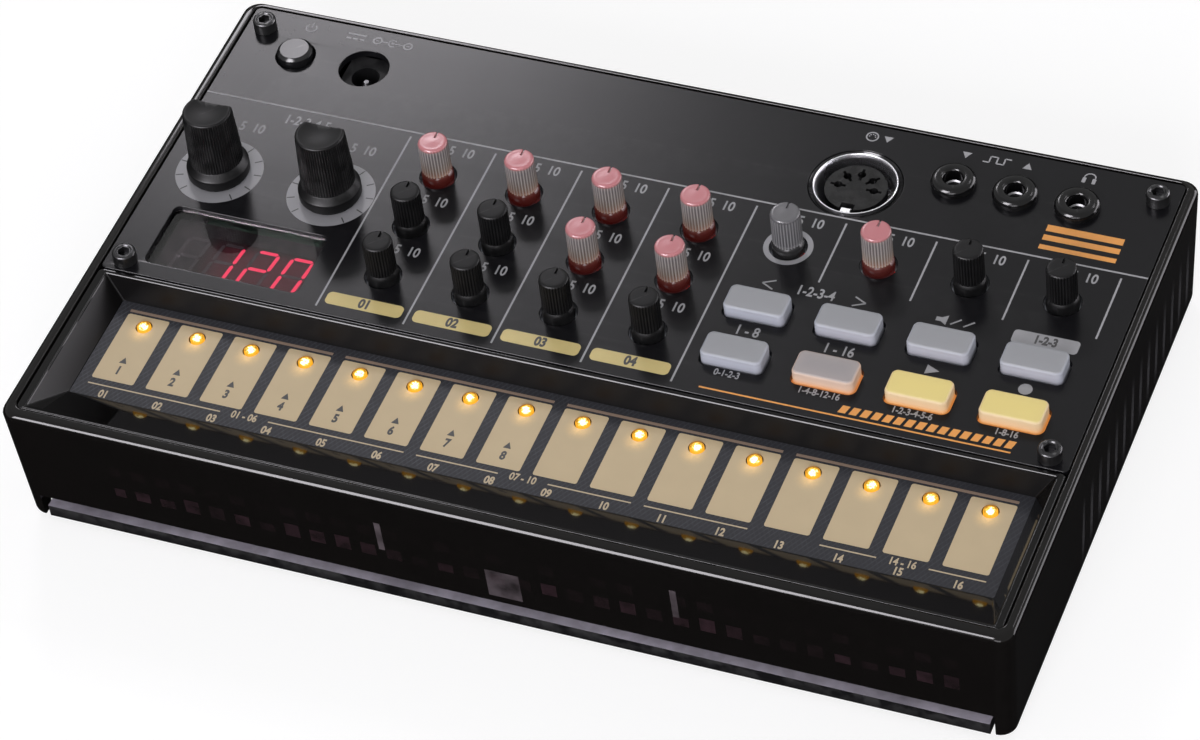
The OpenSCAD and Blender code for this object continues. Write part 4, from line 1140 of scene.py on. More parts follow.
@dataclass
class CaseShell:
    """Smoke case frame with its rim, inner ribs and screw bosses."""

    draft: float = 1.0
    corner_r: float = 3.0
    inner_r: float = 2.0
    edge_r: float = 1.15
    lip_r: float = 0.3
    foot_edge: float = 0.8
    fit_gap: float = 0.25
    shelf: float = 1.0
    slot_top: float = 7.4
    slot_end: float = 4.1
    rib_pitch: float = 5.0
    rib_t: float = 1.2
    rib_d: float = 0.9
    root: float = 0.3
    boss_r: float = 2.5
    boss_y: float = 42.0
    boss_in: float = 4.0
    boss_h: float = 12.0

    def build(self) -> None:
        """Makes the frame, its ribs and its bosses."""
        low, high = node_box("case_frame")
        panel_low, panel_high = node_box("control_panel")
        bezel_low, _ = node_box("key_bezel")
        seat_low = (panel_low.x - self.fit_gap, bezel_low.y - self.fit_gap)
        seat_high = (panel_high.x + self.fit_gap, panel_high.y + self.fit_gap)

        def outer(height: float, inset: float) -> Ring:
            """Gives a ring of the outside."""
            return level(rounded((low.x + inset, low.y + inset), (high.x - inset, high.y - inset),
                                 self.corner_r), height)

        def inner(height: float, inset: float) -> Ring:
            """Gives a ring of the inside."""
            return level(rounded((seat_low[0] + inset, seat_low[1] + inset),
                                 (seat_high[0] - inset, seat_high[1] - inset), self.inner_r), height)

        foot = self.foot_edge
        rings = [outer(low.z, self.draft + foot / 2), outer(low.z + foot / 3, self.draft + 0.12),
                 outer(low.z + foot, self.draft), outer(low.z + foot + 0.2, self.draft)]
        rings += [outer(z, x) for x, z in arc((self.edge_r, high.z - self.edge_r), self.edge_r, 180, 90, 10)]
        rings += [inner(z, x) for x, z in arc((-self.lip_r, high.z - self.lip_r), self.lip_r, 90, 0, 3)]
        rings += [inner(panel_low.z, 0), inner(panel_low.z, self.shelf), inner(low.z, self.shelf)]
        form = Form().loft(rings, closed=True)
        wall_front = seat_low[1] + self.shelf
        slot = Form().box((low.x + self.slot_end, low.y - 1, low.z - 1),
                          (high.x - self.slot_end, wall_front + 1, self.slot_top))
        form.cut(slot)
        self._ribs(form, seat_low[0] + self.shelf, wall_front, seat_high[1] - self.shelf)
        form.settle("case_shell", SMOKE_CASE, replaced=["case_frame"], sharp=30)

    def _ribs(self, form: Form, wall_x: float, wall_front: float, wall_rear: float) -> None:
        """Adds the upright ribs and the bosses inside the walls.

        Args:
            form: The form they are added to.
            wall_x: Place of the left wall's inner face.
            wall_front: Place of the front wall's inner face.
            wall_rear: Place of the rear wall's inner face.
        """
        bottom = self.slot_top + 1
        top = node_box("touch_plate")[0].z - 1
        half = self.rib_t / 2
        count = int((-wall_x - 8) // self.rib_pitch)
        for i in range(-count, count + 1):
            x = i * self.rib_pitch
            form.box((x - half, wall_front - self.root, bottom), (x + half, wall_front + self.rib_d, top))
            if wall_front + 5 < x < wall_rear - 5 and abs(abs(x) - self.boss_y) > self.boss_r + self.rib_t:
                for side in (-1, 1):
                    faces = sorted((side * (-wall_x + self.root), side * (-wall_x - self.rib_d)))
                    form.box((faces[0], x - half, bottom), (faces[1], x + half, top))
        base = node_box("bottom_cover")[0].z + 2.5
        for side in (-1, 1):
            for y in (-self.boss_y, self.boss_y):
                centre = (side * (-wall_x - self.boss_in), y)
                form.lathe([(self.boss_r, base), (self.boss_r, base + self.boss_h)], centre, 32)


def plain_nodes() -> None:
    """Gives every CAD node whose shape stays its own finish."""
    finishes = {
        "bottom_cover": BASE_COVER, "battery_cover": BATTERY_LID, "rubber_feet": FOOT_RUBBER,
        "base_screws": ZINC, "board_screws": ZINC, "screw_inserts": BRASS, "touch_plate": SLATE,
        "touch_board": BOARD, "main_board": BOARD, "io_board": BOARD, "display_window": SMOKE_WINDOW,
        "display_module": DARK_MODULE, "dc_jack": SOCKET_MATT, "dc_pin": PIN,
        "din_housing": SOCKET_BLACK, "din_contacts": PLATED, "potentiometers": CONTROL,
        "knob_lamps": RED_LAMP, "button_switches": DARK_MODULE, "power_switch": DARK_MODULE,
        "battery_cells": CELL, "battery_contacts": PLATED, "speaker": CONE, "flex_cable": FLEX}
    for name, finish in finishes.items():
        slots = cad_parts[name].data.materials
        for i in range(len(slots)):
            slots[i] = finish.material()
    LOG.info("dressed %d CAD nodes", len(finishes))


# ---- Panel ----


@dataclass
class Controls:
    """Where the panel's controls stand, read from the frame."""

    small: dict[str, Point] = field(default_factory=dict)
    large: dict[str, Point] = field(default_factory=dict)
    keys: dict[str, Point] = field(default_factory=dict)
    jacks: dict[str, Point] = field(default_factory=dict)

    @classmethod
    def read(cls) -> "Controls":
        """Sorts the frame's nodes by their names."""
        found = cls()
        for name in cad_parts:
            place = node_centre(name)
            if name in ("time_knob", "depth_knob"):
                found.large[name] = place
            elif name.endswith("_knob"):
                found.small[name] = place
            elif name.endswith("_button") and name != "power_button":
                found.keys[name] = place
            elif name.endswith("_jack") and name != "dc_jack":
                found.jacks[name] = place
        return found


@dataclass
class PanelPlate:
    """Satin panel with its holes and rounded edges."""

    controls: Controls
    corner_r: float = 1.0
    edge: float = 0.14
    knob_hole_r: float = 3.5
    key_gap: float = 0.4
    key_r: float = 1.2
    key_size: Point = (11.7, 6.0)
    jack_hole_r: float = 3.3
    power_hole_r: float = 3.9
    dc_hole_r: float = 4.9
    din_hole_r: float = 8.95
    screw_hole_r: float = 1.4
    window: Place = (31.6, 15.2, 1.5)
    window_lip: float = 0.6
    window_step: float = 0.7
    window_step_r: float = 1.9

    def build(self, screws: Sequence[Point]) -> None:
        """Makes the plate.

        Args:
            screws: Places of the four screws.
        """
        low, high = node_box("control_panel")
        found = self.controls
        outlines = [rounded((low.x, low.y), (high.x, high.y), self.corner_r)]
        knobs = (*found.small.values(), *found.large.values())
        outlines += [circle(place, self.knob_hole_r) for place in knobs]
        w, d = (side + 2 * self.key_gap for side in self.key_size)
        outlines += [slab(place, w, d, self.key_r + self.key_gap) for place in found.keys.values()]
        outlines += [circle(place, self.jack_hole_r) for place in found.jacks.values()]
        outlines += [circle(node_centre("power_button"), self.power_hole_r),
                     circle(node_centre("dc_pin"), self.dc_hole_r, 64),
                     circle(node_centre("din_shell"), self.din_hole_r, 96)]
        outlines += [circle(place, self.screw_hole_r, 24) for place in screws]
        middle = node_centre("display_window")
        w, d, r = self.window
        outlines.append(slab(middle, w, d, r))
        form = Form().plate(outlines, low.z, high.z, self.edge)
        step = 2 * self.window_step
        form.cut(Form().plate([slab(middle, w + step, d + step, self.window_step_r)], low.z - 1,
                              low.z + self.window_lip))
        form.settle("panel_plate", SATIN_PANEL, replaced=["control_panel"], sharp=32)


@dataclass
class Layer:
    """Thin print of one finish between two heights."""

    low: float
    high: float
    form: Form = field(default_factory=Form)

    def draw(self, place: Point, *outlines: Outline) -> None:
        """Adds outlines drawn about a place, each as its own thin plate."""
        for outline in outlines:
            self.form.plate([[(x + place[0], y + place[1]) for x, y in outline]], self.low, self.high)

    def ring(self, centre: Point, outer: float, inner: float) -> None:
        """Adds a flat ring."""
        self.form.plate([circle(centre, outer, 72), circle(centre, inner, 72)], self.low, self.high)

    def say(self, text: str, centre: Point, height: float, bold: float = 0.026) -> None:
        """Adds plain figures, with a share of their height as extra stroke."""
        self.form.words(text, centre, height, self.low, self.high, bold)


@dataclass
class PanelPrint:
    """Lines, scales, figures and plain marks printed on the panel."""

    controls: Controls
    thickness: float = 0.03
    line_w: float = 0.36
    across_y: float = 31.35
    divider_top: float = 30.1
    divider_long: float = -16.0
    divider_short: float = 14.5
    divider_shift: float = 0.35
    figure_h: float = 2.4
    label_rise: float = 6.9
    scale_r: float = 8.5
    scale_in: float = 5.6
    tick_r: Point = (6.9, 8.4)
    tick_sweep: float = 140.0
    tick_count: int = 11
    plate_size: Point = (15.3, 3.05)
    plate_y: float = -13.4
    plate_r: float = 1.0
    orange_y: float = -15.8
    icon_y: float = 53.1
    mark_rise: float = 6.6
    mark_drop: float = 5.8
    small_y: float = -11.6
    large_rise: float = 12.5
    sign_place: Point = (-71.4, 28.2)
    ring_r: Point = (4.65, 3.62)
    orange_x: float = 24.7
    orange_w: float = 58.4
    stripe_place: Point = (72.6, 38.9)
    stripe_w: float = 14.6
    stripe_step: float = 2.45
    step_place: Point = (51.6, -14.0)
    step_pitch: float = 2.06

    def build(self) -> None:
        """Makes every printed layer."""
        columns = sorted({round(x, 2) for x, _ in self.controls.small.values()})
        self._lines(columns)
        self._figures()
        self._scales()
        self._plates(columns[:4])
        self._orange()

    def _layer(self, lift: float = 0.0) -> Layer:
        """Starts a layer of print on the panel, or as far above it as another layer lifts it."""
        top = node_box("control_panel")[1].z + lift
        return Layer(top - SINK, top + self.thickness)

    def _lines(self, columns: Sequence[float]) -> None:
        """Prints the long line and the dividers between columns.

        Args:
            columns: Middles of the channel columns.
        """
        low, high = node_box("control_panel")
        pitch = columns[1] - columns[0]
        strokes = [(low.x + 0.1, self.across_y, high.x - 0.1, self.across_y)]
        for i in range(len(columns) + 1):
            x = columns[0] + (i - 0.5) * pitch - self.divider_shift
            strokes.append((x, self.divider_top, x, self.divider_long if i < 5 else self.divider_short))
        layer = self._layer()
        layer.draw((0, 0), *bars(self.line_w, *strokes))
        layer.form.settle("panel_lines", PRINT_GREY)

    def _figures(self) -> None:
        """Prints figures over the knobs, and the plain icons of keys and sockets."""
        layer = self._layer()
        for x, y in self.controls.small.values():
            layer.say("0  5  10", (x + 0.6, y + self.label_rise), self.figure_h)
        for x, y in self.controls.large.values():
            layer.say("0  5  10", (x, y + self.large_rise), self.figure_h)
        layer.say("1-2-3-4-5", self.sign_place, self.figure_h)
        self._key_marks(layer)
        self._socket_marks(layer)
        layer.form.settle("panel_marks", PRINT_GREY)

    def _key_marks(self, layer: Layer) -> None:
        """Prints arrows, play and record marks and figures round the rubber keys.

        Args:
            layer: The print they belong to.
        """
        keys = self.controls.keys
        x, y = keys["back_button"]
        rear = y + self.mark_rise
        layer.draw((x, rear), *bars(0.3, (-1.5, 0, 0.8, 1.15), (-1.5, 0, 0.8, -1.15)))
        layer.say("1-2-3-4", (x + 8.8, rear), self.figure_h)
        layer.draw((keys["forward_button"][0], rear),
                   *bars(0.3, (-1.4, 1.15, 0.9, 0), (-1.4, -1.15, 0.9, 0)))
        x, y = keys["mute_button"]
        horn = [(-3.2, -0.5), (-2.2, -0.5), (-1.1, -1.2), (-1.1, 1.2), (-2.2, 0.5), (-3.2, 0.5)]
        layer.draw((x, rear), horn, *bars(0.32, (-0.3, -0.8, 1.4, 0.8), (2.2, -0.8, 3.9, 0.8)))
        front = y - self.mark_drop
        layer.say("1 - 8", (keys["memory_button"][0], front), self.figure_h)
        layer.say("1 - 16", (keys["step_button"][0], front), self.figure_h)
        layer.draw((keys["play_button"][0], front), [(-1.0, -1.15), (1.5, 0), (-1.0, 1.15)])
        layer.draw((keys["record_button"][0], front), circle((0, 0.1), 1.3, 32))
        for name, text in (("memory_button", "0-1-2-3"), ("step_button", "1-4-8-12-16"),
                           ("play_button", "1-2-3-4-5-6"), ("record_button", "1-8-16")):
            layer.say(text, (keys[name][0], self.small_y), 1.6)

    def _socket_marks(self, layer: Layer) -> None:
        """Prints the plain symbols behind the power button and the sockets.

        Args:
            layer: The print they belong to.
        """
        y = self.icon_y
        layer.draw((node_centre("power_button")[0], y), bow((0, 0), 1.05, 0.26, 125, 415),
                   bar((0, 0.2), (0, 1.5), 0.26))
        x = node_centre("dc_pin")[0]
        layer.draw((x, y), *bars(0.42, (-6.8, 0.6, -3.0, 0.6), (-6.8, -0.6, -5.8, -0.6),
                                       (-5.4, -0.6, -4.4, -0.6), (-4.0, -0.6, -3.0, -0.6)),
                   *bars(0.22, (0.6, 0, 1.7, 0), (3.2, 0, 5.0, 0)),
                   *bars(0.2, (-0.75, 0, -0.05, 0), (5.65, 0, 6.35, 0)),
                   bow((2.8, 0), 0.85, 0.26, 50, 310), circle((2.8, 0), 0.32, 16))
        layer.ring((x - 0.4, y), 1.0, 0.64)
        layer.ring((x + 6.0, y), 1.0, 0.64)
        x = node_centre("din_shell")[0]
        layer.ring((x - 1.0, y), 1.25, 0.98)
        layer.draw((x, y), [(1.2, 0.7), (3.0, 0.7), (2.1, -0.8)],
                   *[circle(place, 0.14, 10) for place in arc((-1.0, 0), 0.6, 0, 180, 4)])
        first, second, third = sorted(self.controls.jacks.values())
        for (x, _), way in ((first, -1), (second, 1)):
            layer.draw((x, y), [(-0.9, -0.7 * way), (0.9, -0.7 * way), (0, 0.9 * way)])
        pulse = [(-2.6, -0.8), (-1.4, -0.8), (-1.4, 0.8), (0, 0.8), (0, -0.8), (1.4, -0.8), (1.4, 0.8),
                 (2.6, 0.8)]
        layer.draw(((first[0] + second[0]) / 2, y),
                   *[bar(start, end, 0.28) for start, end in zip(pulse, pulse[1:])])
        layer.draw((third[0], y), bow((0, 0.2), 1.05, 0.24, 0, 180),
                   rounded((-1.3, -1.3), (-0.6, 0.1), 0.2, 3), rounded((0.6, -1.3), (1.3, 0.1), 0.2, 3))

    def _scales(self) -> None:
        """Prints the scales round the large knobs and the ring round the clear one."""
        layer = self._layer()
        for centre in self.controls.large.values():
            layer.ring(centre, self.scale_r, self.scale_in)
        layer.ring(self.controls.small["speed_knob"], *self.ring_r)
        layer.form.settle("panel_scales", RING_GREY)
        start, end = self.tick_r
        turn = 2 * self.tick_sweep / (self.tick_count - 1)
        for name, centre in self.controls.large.items():
            tick = Form().box((-0.12, start, layer.high - 0.015), (0.12, end, layer.high + 0.015))
            repeated(name + "_ticks", tick, fan_tree(), PRINT_DARK, Count=self.tick_count,
                     Centre=(centre[0] * MM, centre[1] * MM, 0.0),
                     First=math.radians(-self.tick_sweep), Turn=math.radians(turn))

    def _plates(self, columns: Sequence[float]) -> None:
        """Prints the four channel plates and the plate behind the last upper key.

        Args:
            columns: Middles of the channel columns.
        """
        layer = self._layer()
        figures = self._layer(self.thickness)
        for i, column in enumerate(columns):
            place = (column - 0.4, self.plate_y)
            layer.draw(place, slab((0, 0), *self.plate_size, self.plate_r))
            figures.say(f"{i + 1:02d}", place, 2.2, 0.06)
        layer.form.settle("channel_plates", CHANNEL_YELLOW)
        x, y = self.controls.keys["function_button"]
        grey = self._layer()
        grey.draw((x, y), rounded((-6.2, 4.6), (6.2, 7.9), 0.8))
        grey.form.settle("function_plate", PRINT_GREY)
        figures.say("1-2-3", (x, y + 6.3), 2.0, 0.06)
        figures.form.settle("channel_figures", PRINT_DARK)

    def _orange(self) -> None:
        """Prints the orange line, the row of sixteen step marks and the corner stripes."""
        layer = self._layer()
        layer.draw((self.orange_x, self.orange_y), bar((0, 0), (self.orange_w, 0), 0.34))
        x, y = self.stripe_place
        for stripe, width in enumerate((1.6, 1.35, 1.1)):
            layer.draw((x, y - stripe * self.stripe_step), bar((0, 0), (self.stripe_w, 0), width))
        layer.form.settle("orange_marks", PRINT_ORANGE)
        mark = self._layer()
        mark.draw((0, 0), [(-0.95, -0.9), (0.45, -0.9), (0.95, 0.9), (-0.45, 0.9)])
        x, y = self.step_place
        repeated("step_marks", mark.form, row_tree(), PRINT_ORANGE, Count=16, Start=(x * MM, y * MM, 0.0),
                 Step=(self.step_pitch * MM, 0.0, 0.0))


@dataclass
class PanelScrews:
    """Cylinder heads with a hex socket and a rounded rim."""

    head_r: float = 2.25
    head_h: float = 2.6
    round_r: float = 0.5
    hex_r: float = 1.2
    hex_depth: float = 1.5
    shank_r: float = 1.2

    def places(self) -> list[Point]:
        """Gives the four places, from the box of the CAD screws."""
        low, high = node_box("panel_screws")
        return [(x, y) for x in (low.x + self.head_r, high.x - self.head_r)
                for y in (low.y + self.head_r, high.y - self.head_r)]

    def build(self) -> None:
        """Makes the four screws as copies of one."""
        low, high = node_box("panel_screws")
        seat_z = high.z - self.head_h
        profile = [(self.shank_r, low.z), (self.shank_r, seat_z), (self.head_r - 0.1, seat_z),
                   (self.head_r, seat_z + 0.1)]
        profile += arc((self.head_r - self.round_r, high.z - self.round_r), self.round_r, 0, 90, 5)
        profile += [(self.hex_r + 0.32, high.z), (self.hex_r + 0.12, high.z - 0.18)]
        socket = Form().lathe([(self.hex_r, high.z - self.hex_depth), (self.hex_r, high.z + 1)], count=6)
        repeated("socket_head_screws", Form().lathe(profile, count=48).cut(socket), place_tree(), BLACK_SCREW,
                 ["panel_screws"], level(self.places(), 0.0))


# ---- Key bed ----


@dataclass
class Bezel:
    """Gloss frame whose four mitred ramps lead down to the touch plate."""

    lip_front: float = 0.5
    lip_rear: float = 1.0
    lip_side: float = 1.6
    plate_half: float = 89.04
    plate_y: Point = (-44.3, -20.2)
    ramp_edge: float = 0.06
    edge_z: float = 0.02
    corner_r: float = 1.0
    skirt: float = 1.3
    edge_rear: float = 0.4
    edge_side: float = 0.3
    edge_front: float = 0.22

    def build(self) -> None:
        """Makes the frame."""
        low, high = node_box("key_bezel")
        plate_z = node_box("touch_plate")[1].z
        under = node_box("control_panel")[0].z
        left, front, right, rear = -self.plate_half, self.plate_y[0], self.plate_half, self.plate_y[1]
        inset = self.skirt
        lip = ((low.x + self.lip_side, low.y + self.lip_front),
               (high.x - self.lip_side, high.y - self.lip_rear))
        top = rounded((low.x, low.y), (high.x, high.y), self.corner_r)
        skirt = rounded((low.x + inset, low.y + inset), (high.x - inset, high.y - 0.3), 0)
        floor = rounded((left, front), (right, rear), 0)
        tuck = rounded((left - inset, front - inset), (right + inset, rear + 0.4), 0)
        rings = [level(outline, height) for outline, height in (
            (skirt, low.z), (skirt, under), (top, under), (top, high.z), (rounded(*lip, 0), high.z),
            (floor, plate_z + self.ramp_edge), (floor, plate_z + self.edge_z), (tuck, plate_z + self.edge_z),
            (tuck, low.z))]
        form = Form().loft(rings, closed=True).merge()
        self._weigh(form, high.z, *lip)
        form.changed("BEVEL", width=1.0, segments=4, limit_method="WEIGHT", use_clamp_overlap=False)
        form.settle("bezel_frame", GLOSS_BEZEL, replaced=["key_bezel"], sharp=50)

    def _weigh(self, form: Form, top: float, lip_low: Point, lip_high: Point) -> None:
        """Marks the edges of the lip and the mitres with the width of their rounding.

        Args:
            form: The bezel.
            top: Height of its upper face.
            lip_low: Front left corner of the lip.
            lip_high: Rear right corner of the lip.
        """
        layer = form.bm.edges.layers.float.new("bevel_weight_edge")
        for edge in form.bm.edges:
            first, second = (vert.co for vert in edge.verts)
            raised = [abs(point.z - top) < 0.01 for point in (first, second)]
            middle_y = (first.y + second.y) / 2
            inside = max(abs(first.x), abs(second.x)) < lip_high[0] + 0.01
            if edge.calc_face_angle(0) <= 0.2:
                continue
            if all(raised) and middle_y > lip_high[1] - 0.01:
                edge[layer] = self.edge_rear
            elif all(raised) and middle_y < lip_low[1] + 0.01:
                edge[layer] = self.edge_front
            elif all(raised) or any(raised) and min(first.z, second.z) < top - 2 and inside:
                edge[layer] = self.edge_side


@dataclass
class TouchStrip:
    """Sixteen plated pads, their figures and lines, and the lamps in them."""

    count: int = 16
    pitch: float = 10.98
    pad_w: float = 8.5
    pad_y: Point = (-39.7, -23.0)
    pad_r: float = 0.45
    lamp_y: float = -25.5
    hole_r: float = 1.6
    lamp_r: float = 1.5
    dome: float = 0.85
    line_y: float = -41.15
    bar_x: float = -86.6
    bar_w: float = 41.4
    bar_y: Point = (-22.5, -21.9)
    label_y: float = -43.2
    wedge_y: float = -35.1
    figure_y: float = -37.0
    thickness: float = 0.035

    def build(self) -> None:
        """Makes pads, print and lamps."""
        low = node_box("touch_plate")[1].z - SINK
        high = low + SINK + self.thickness
        first = -(self.count - 1) / 2 * self.pitch
        half = self.pad_w / 2
        pad = Form().plate([rounded((-half, self.pad_y[0]), (half, self.pad_y[1]), self.pad_r, 4),
                            circle((0, self.lamp_y), self.hole_r, 40)], low, high)
        row = {"Count": self.count, "Start": (first * MM, 0.0, 0.0), "Step": (self.pitch * MM, 0.0, 0.0)}
        repeated("touch_pads", pad, row_tree(), PAD_TAN, **row)
        repeated("lamp_lenses", self._lens(), row_tree(), AMBER_LAMP, ["key_leds"], **row)
        strip = Form().box((0, self.bar_y[0], low), (self.bar_w, self.bar_y[1], high))
        repeated("group_bars", strip, row_tree(), PRINT_BROWN, Count=4, Start=(self.bar_x * MM, 0.0, 0.0),
                 Step=(4 * self.pitch * MM, 0.0, 0.0))
        self._brackets(first, Layer(low, high))
        self._numbers(first, Layer(high - SINK, high + 0.02))

    def _lens(self) -> Form:
        """Makes one domed lens."""
        low, high = node_box("key_leds")
        r = self.lamp_r - 0.14
        foot = high.z - self.dome
        dome = [(x * r, foot + z * self.dome) for x, z in arc((0, 0), 1.0, 10, 86, 14)]
        return Form().lathe([(r, low.z), (r, foot), *dome], (0, self.lamp_y), 48)

    def _brackets(self, first: float, layer: Layer) -> None:
        """Prints the bracket lines and the figures in front of the pads.

        Args:
            first: Middle of the first pad.
            layer: The print they belong to.
        """
        y = self.line_y
        for start, end, text in ((0, 5, "01 - 06"), (6, 9, "07 - 10"), (10, 11, ""), (13, 15, "14 - 16")):
            left = first + start * self.pitch - self.pad_w / 2
            right = first + end * self.pitch + self.pad_w / 2
            middle = (left + right) / 2
            strokes = [(left, y, right, y)]
            if text:
                room = 0.56 * len(text) + 0.9
                strokes = [(left, y, middle - room, y), (middle + room, y, right, y)]
                layer.say(text, (middle, y), 1.7, 0.035)
            layer.draw((0, 0), *bars(0.26, *strokes))
        for i in range(self.count):
            layer.say(f"{i + 1:02d}", (first + i * self.pitch - 0.2, self.label_y), 1.8, 0.045)
        layer.form.settle("pad_labels", PRINT_TAN)

    def _numbers(self, first: float, layer: Layer) -> None:
        """Prints a wedge and a figure on each pad of the left half."""
        for i in range(self.count // 2):
            x = first + i * self.pitch
            layer.draw((x, self.wedge_y), [(-0.75, 0), (0.75, 0), (0, 1.5)])
            layer.say(str(i + 1), (x, self.figure_y), 2.0, 0.06)
        layer.form.settle("pad_figures", PRINT_DARK)


@dataclass
class Display:
    """Four slanted seven-bar digits under the smoke window."""

    pitch: float = 7.07
    first_x: float = -83.2
    top_y: float = -3.6
    size: Point = (4.2, 9.1)
    stroke: float = 0.72
    gap: float = 0.16
    halo_end: float = -56.3
    slant: float = math.tan(math.radians(6.5))
    shown: tuple[str, ...] = ("", "bc", "abged", "abcdef")

    def _segment(self, name: str) -> Outline:
        """Gives the outline of one bar of a digit.

        Args:
            name: Letter of the bar.

        Returns:
            Its outline, from the digit's upper left corner.
        """
        w, h = self.size
        half = self.stroke / 2
        inset = half + self.gap
        mid = -h / 2
        start, end = {"a": ((0, 0), (w, 0)), "g": ((0, mid), (w, mid)), "d": ((0, -h), (w, -h)),
                      "f": ((0, mid), (0, 0)), "b": ((w, mid), (w, 0)),
                      "e": ((0, -h), (0, mid)), "c": ((w, -h), (w, mid))}[name]
        length = math.dist(start, end)
        points = [(self.gap, 0), (inset, half), (length - inset, half), (length - self.gap, 0),
                  (length - inset, -half), (inset, -half)]
        if start[0] == end[0]:
            points = [(y, x) for x, y in points]
        places = [(start[0] + x, start[1] + y) for x, y in points]
        return [(x + (y + h) * self.slant, y) for x, y in places]

    def build(self) -> None:
        """Makes the lit and the unlit bars."""
        face = node_box("display_module")[1].z
        lit = Layer(face - 0.02, face + 0.03)
        unlit = Layer(face - 0.02, face + 0.03)
        for i, shown in enumerate(self.shown):
            for name in "abcdefg":
                layer = lit if name in shown else unlit
                layer.draw((self.first_x + i * self.pitch, self.top_y), self._segment(name))
        patch = rounded((DIGIT_HALO.left, DIGIT_HALO.low), (self.halo_end, DIGIT_HALO.high), 0.6)
        Form().plate([patch], face - 0.03, face + 0.005).settle("digit_glow", DIGIT_HALO)
        lit.form.settle("digits_lit", DIGIT_LIT)
        unlit.form.settle("digits_unlit", DIGIT_OFF)


# ---- Knobs, keys and sockets ----


class KnobKind(Enum):
    """How a small knob is moulded and lit."""

    BLACK = "black"
    PINK = "pink"
    CLEAR = "clear"


def fluted(radius: float, depth: float, count: int, height: float, detail: int) -> Ring:
    """Gives a ring with round flutes.

    Args:
        radius: Radius over the ridges.
        depth: Depth of a flute.
        count: Number of flutes.
        height: Height of the ring.
        detail: Points to a flute.

    Returns:
        The ring.
    """
    ring = []
    for x, y in circle((0, 0), 1.0, count * detail):
        r = radius - depth * (1 - abs(math.sin(math.atan2(y, x) * count / 2)))
        ring.append((r * x, r * y, height))
    return ring


@dataclass
class SmallKnob:
    """Fluted knob on a smooth collar, with a notch at the rear of its top."""

    radius: float = 2.84
    collar_r: float = 3.02
    collar_top: float = 30.9
    flutes: int = 30
    flute_depth: float = 0.2
    cap: float = 0.55
    shaft_r: float = 1.5
    detail: int = 6

    def form(self, kind: KnobKind) -> Form:
        """Makes one knob about the origin.

        Args:
            kind: How it is moulded and lit.

        Returns:
            The knob, upright on its axis.
        """
        low, high = node_box("kick_pitch_knob")
        count = self.flutes * self.detail
        foot = node_box("control_panel")[0].z + 0.3

        def plain(r: float, z: float) -> Ring:
            """Gives a smooth ring."""
            return level(circle((0, 0), r, count), z)

        def ridged(r: float, z: float, share: float = 1.0) -> Ring:
            """Gives a ring with a share of the flutes' depth."""
            return fluted(r, self.flute_depth * share, self.flutes, z, self.detail)

        collar = self.collar_top
        rings = [plain(self.shaft_r, low.z), plain(self.shaft_r, foot), plain(self.collar_r - 0.2, foot),
                 plain(self.collar_r, foot + 0.2), plain(self.collar_r, collar - 0.75),
                 plain(self.collar_r - 0.06, collar - 0.45), plain(self.radius - 0.12, collar - 0.12),
                 plain(self.radius - 0.2, collar)]
        grip_top = high.z - self.cap
        rings += [ridged(self.radius, z) for z in (collar + 0.12, collar + 0.3, grip_top - 0.1)]
        for x, z in arc((0, 0), 1.0, 18, 78, 4):
            r = self.radius - self.cap * (1 - x)
            rings.append(ridged(r, grip_top + z * self.cap * 0.98, max(0.0, 1 - z * 1.3)))
        crown = 0.0 if kind is KnobKind.BLACK else 0.05
        flat = self.radius - self.cap
        rings += [plain(flat * share, high.z - crown * share) for share in (0.9, 0.6, 0.3, 0.02)]
        notch = Form().box((-0.24, 0.95, high.z - 0.62), (0.24, self.radius + 1, high.z + 1))
        form = Form().loft(rings).cut(notch)
        self._mark_ridges(form, grip_top)
        return form

    def _mark_ridges(self, form: Form, grip_top: float) -> None:
        """Keeps how near each point of the grip lies to the ridge of a flute, where the painted highlight
        goes.
        """
        layer = form.bm.verts.layers.float.new("ridge")
        for vert in form.bm.verts:
            x, y, z = vert.co
            outside = math.hypot(x, y) > self.radius - self.flute_depth - 0.1
            if outside and self.collar_top < z < grip_top + 0.05:
                vert[layer] = abs(math.sin(math.atan2(y, x) * self.flutes / 2))

    def build(self, controls: Controls) -> None:
        """Makes all the small knobs, each on its own body.

        Args:
            controls: Places of the controls.
        """
        kinds = dict.fromkeys(("kick_click_knob", "snare_snap_knob", "tom_high_knob", "tom_low_knob",
                               "closed_hat_knob", "open_hat_knob", "tempo_knob"), KnobKind.PINK)
        kinds["speed_knob"] = KnobKind.CLEAR
        finishes = {KnobKind.BLACK: BLACK_KNOB, KnobKind.PINK: PINK_KNOB, KnobKind.CLEAR: UNLIT_KNOB}
        masters = {kind: self.form(kind) for kind in KnobKind}
        for name, (x, y) in controls.small.items():
            kind = kinds.get(name, KnobKind.BLACK)
            masters[kind].copy().moved(x, y).settle(name + "_grip", finishes[kind], name, [name], sharp=50)


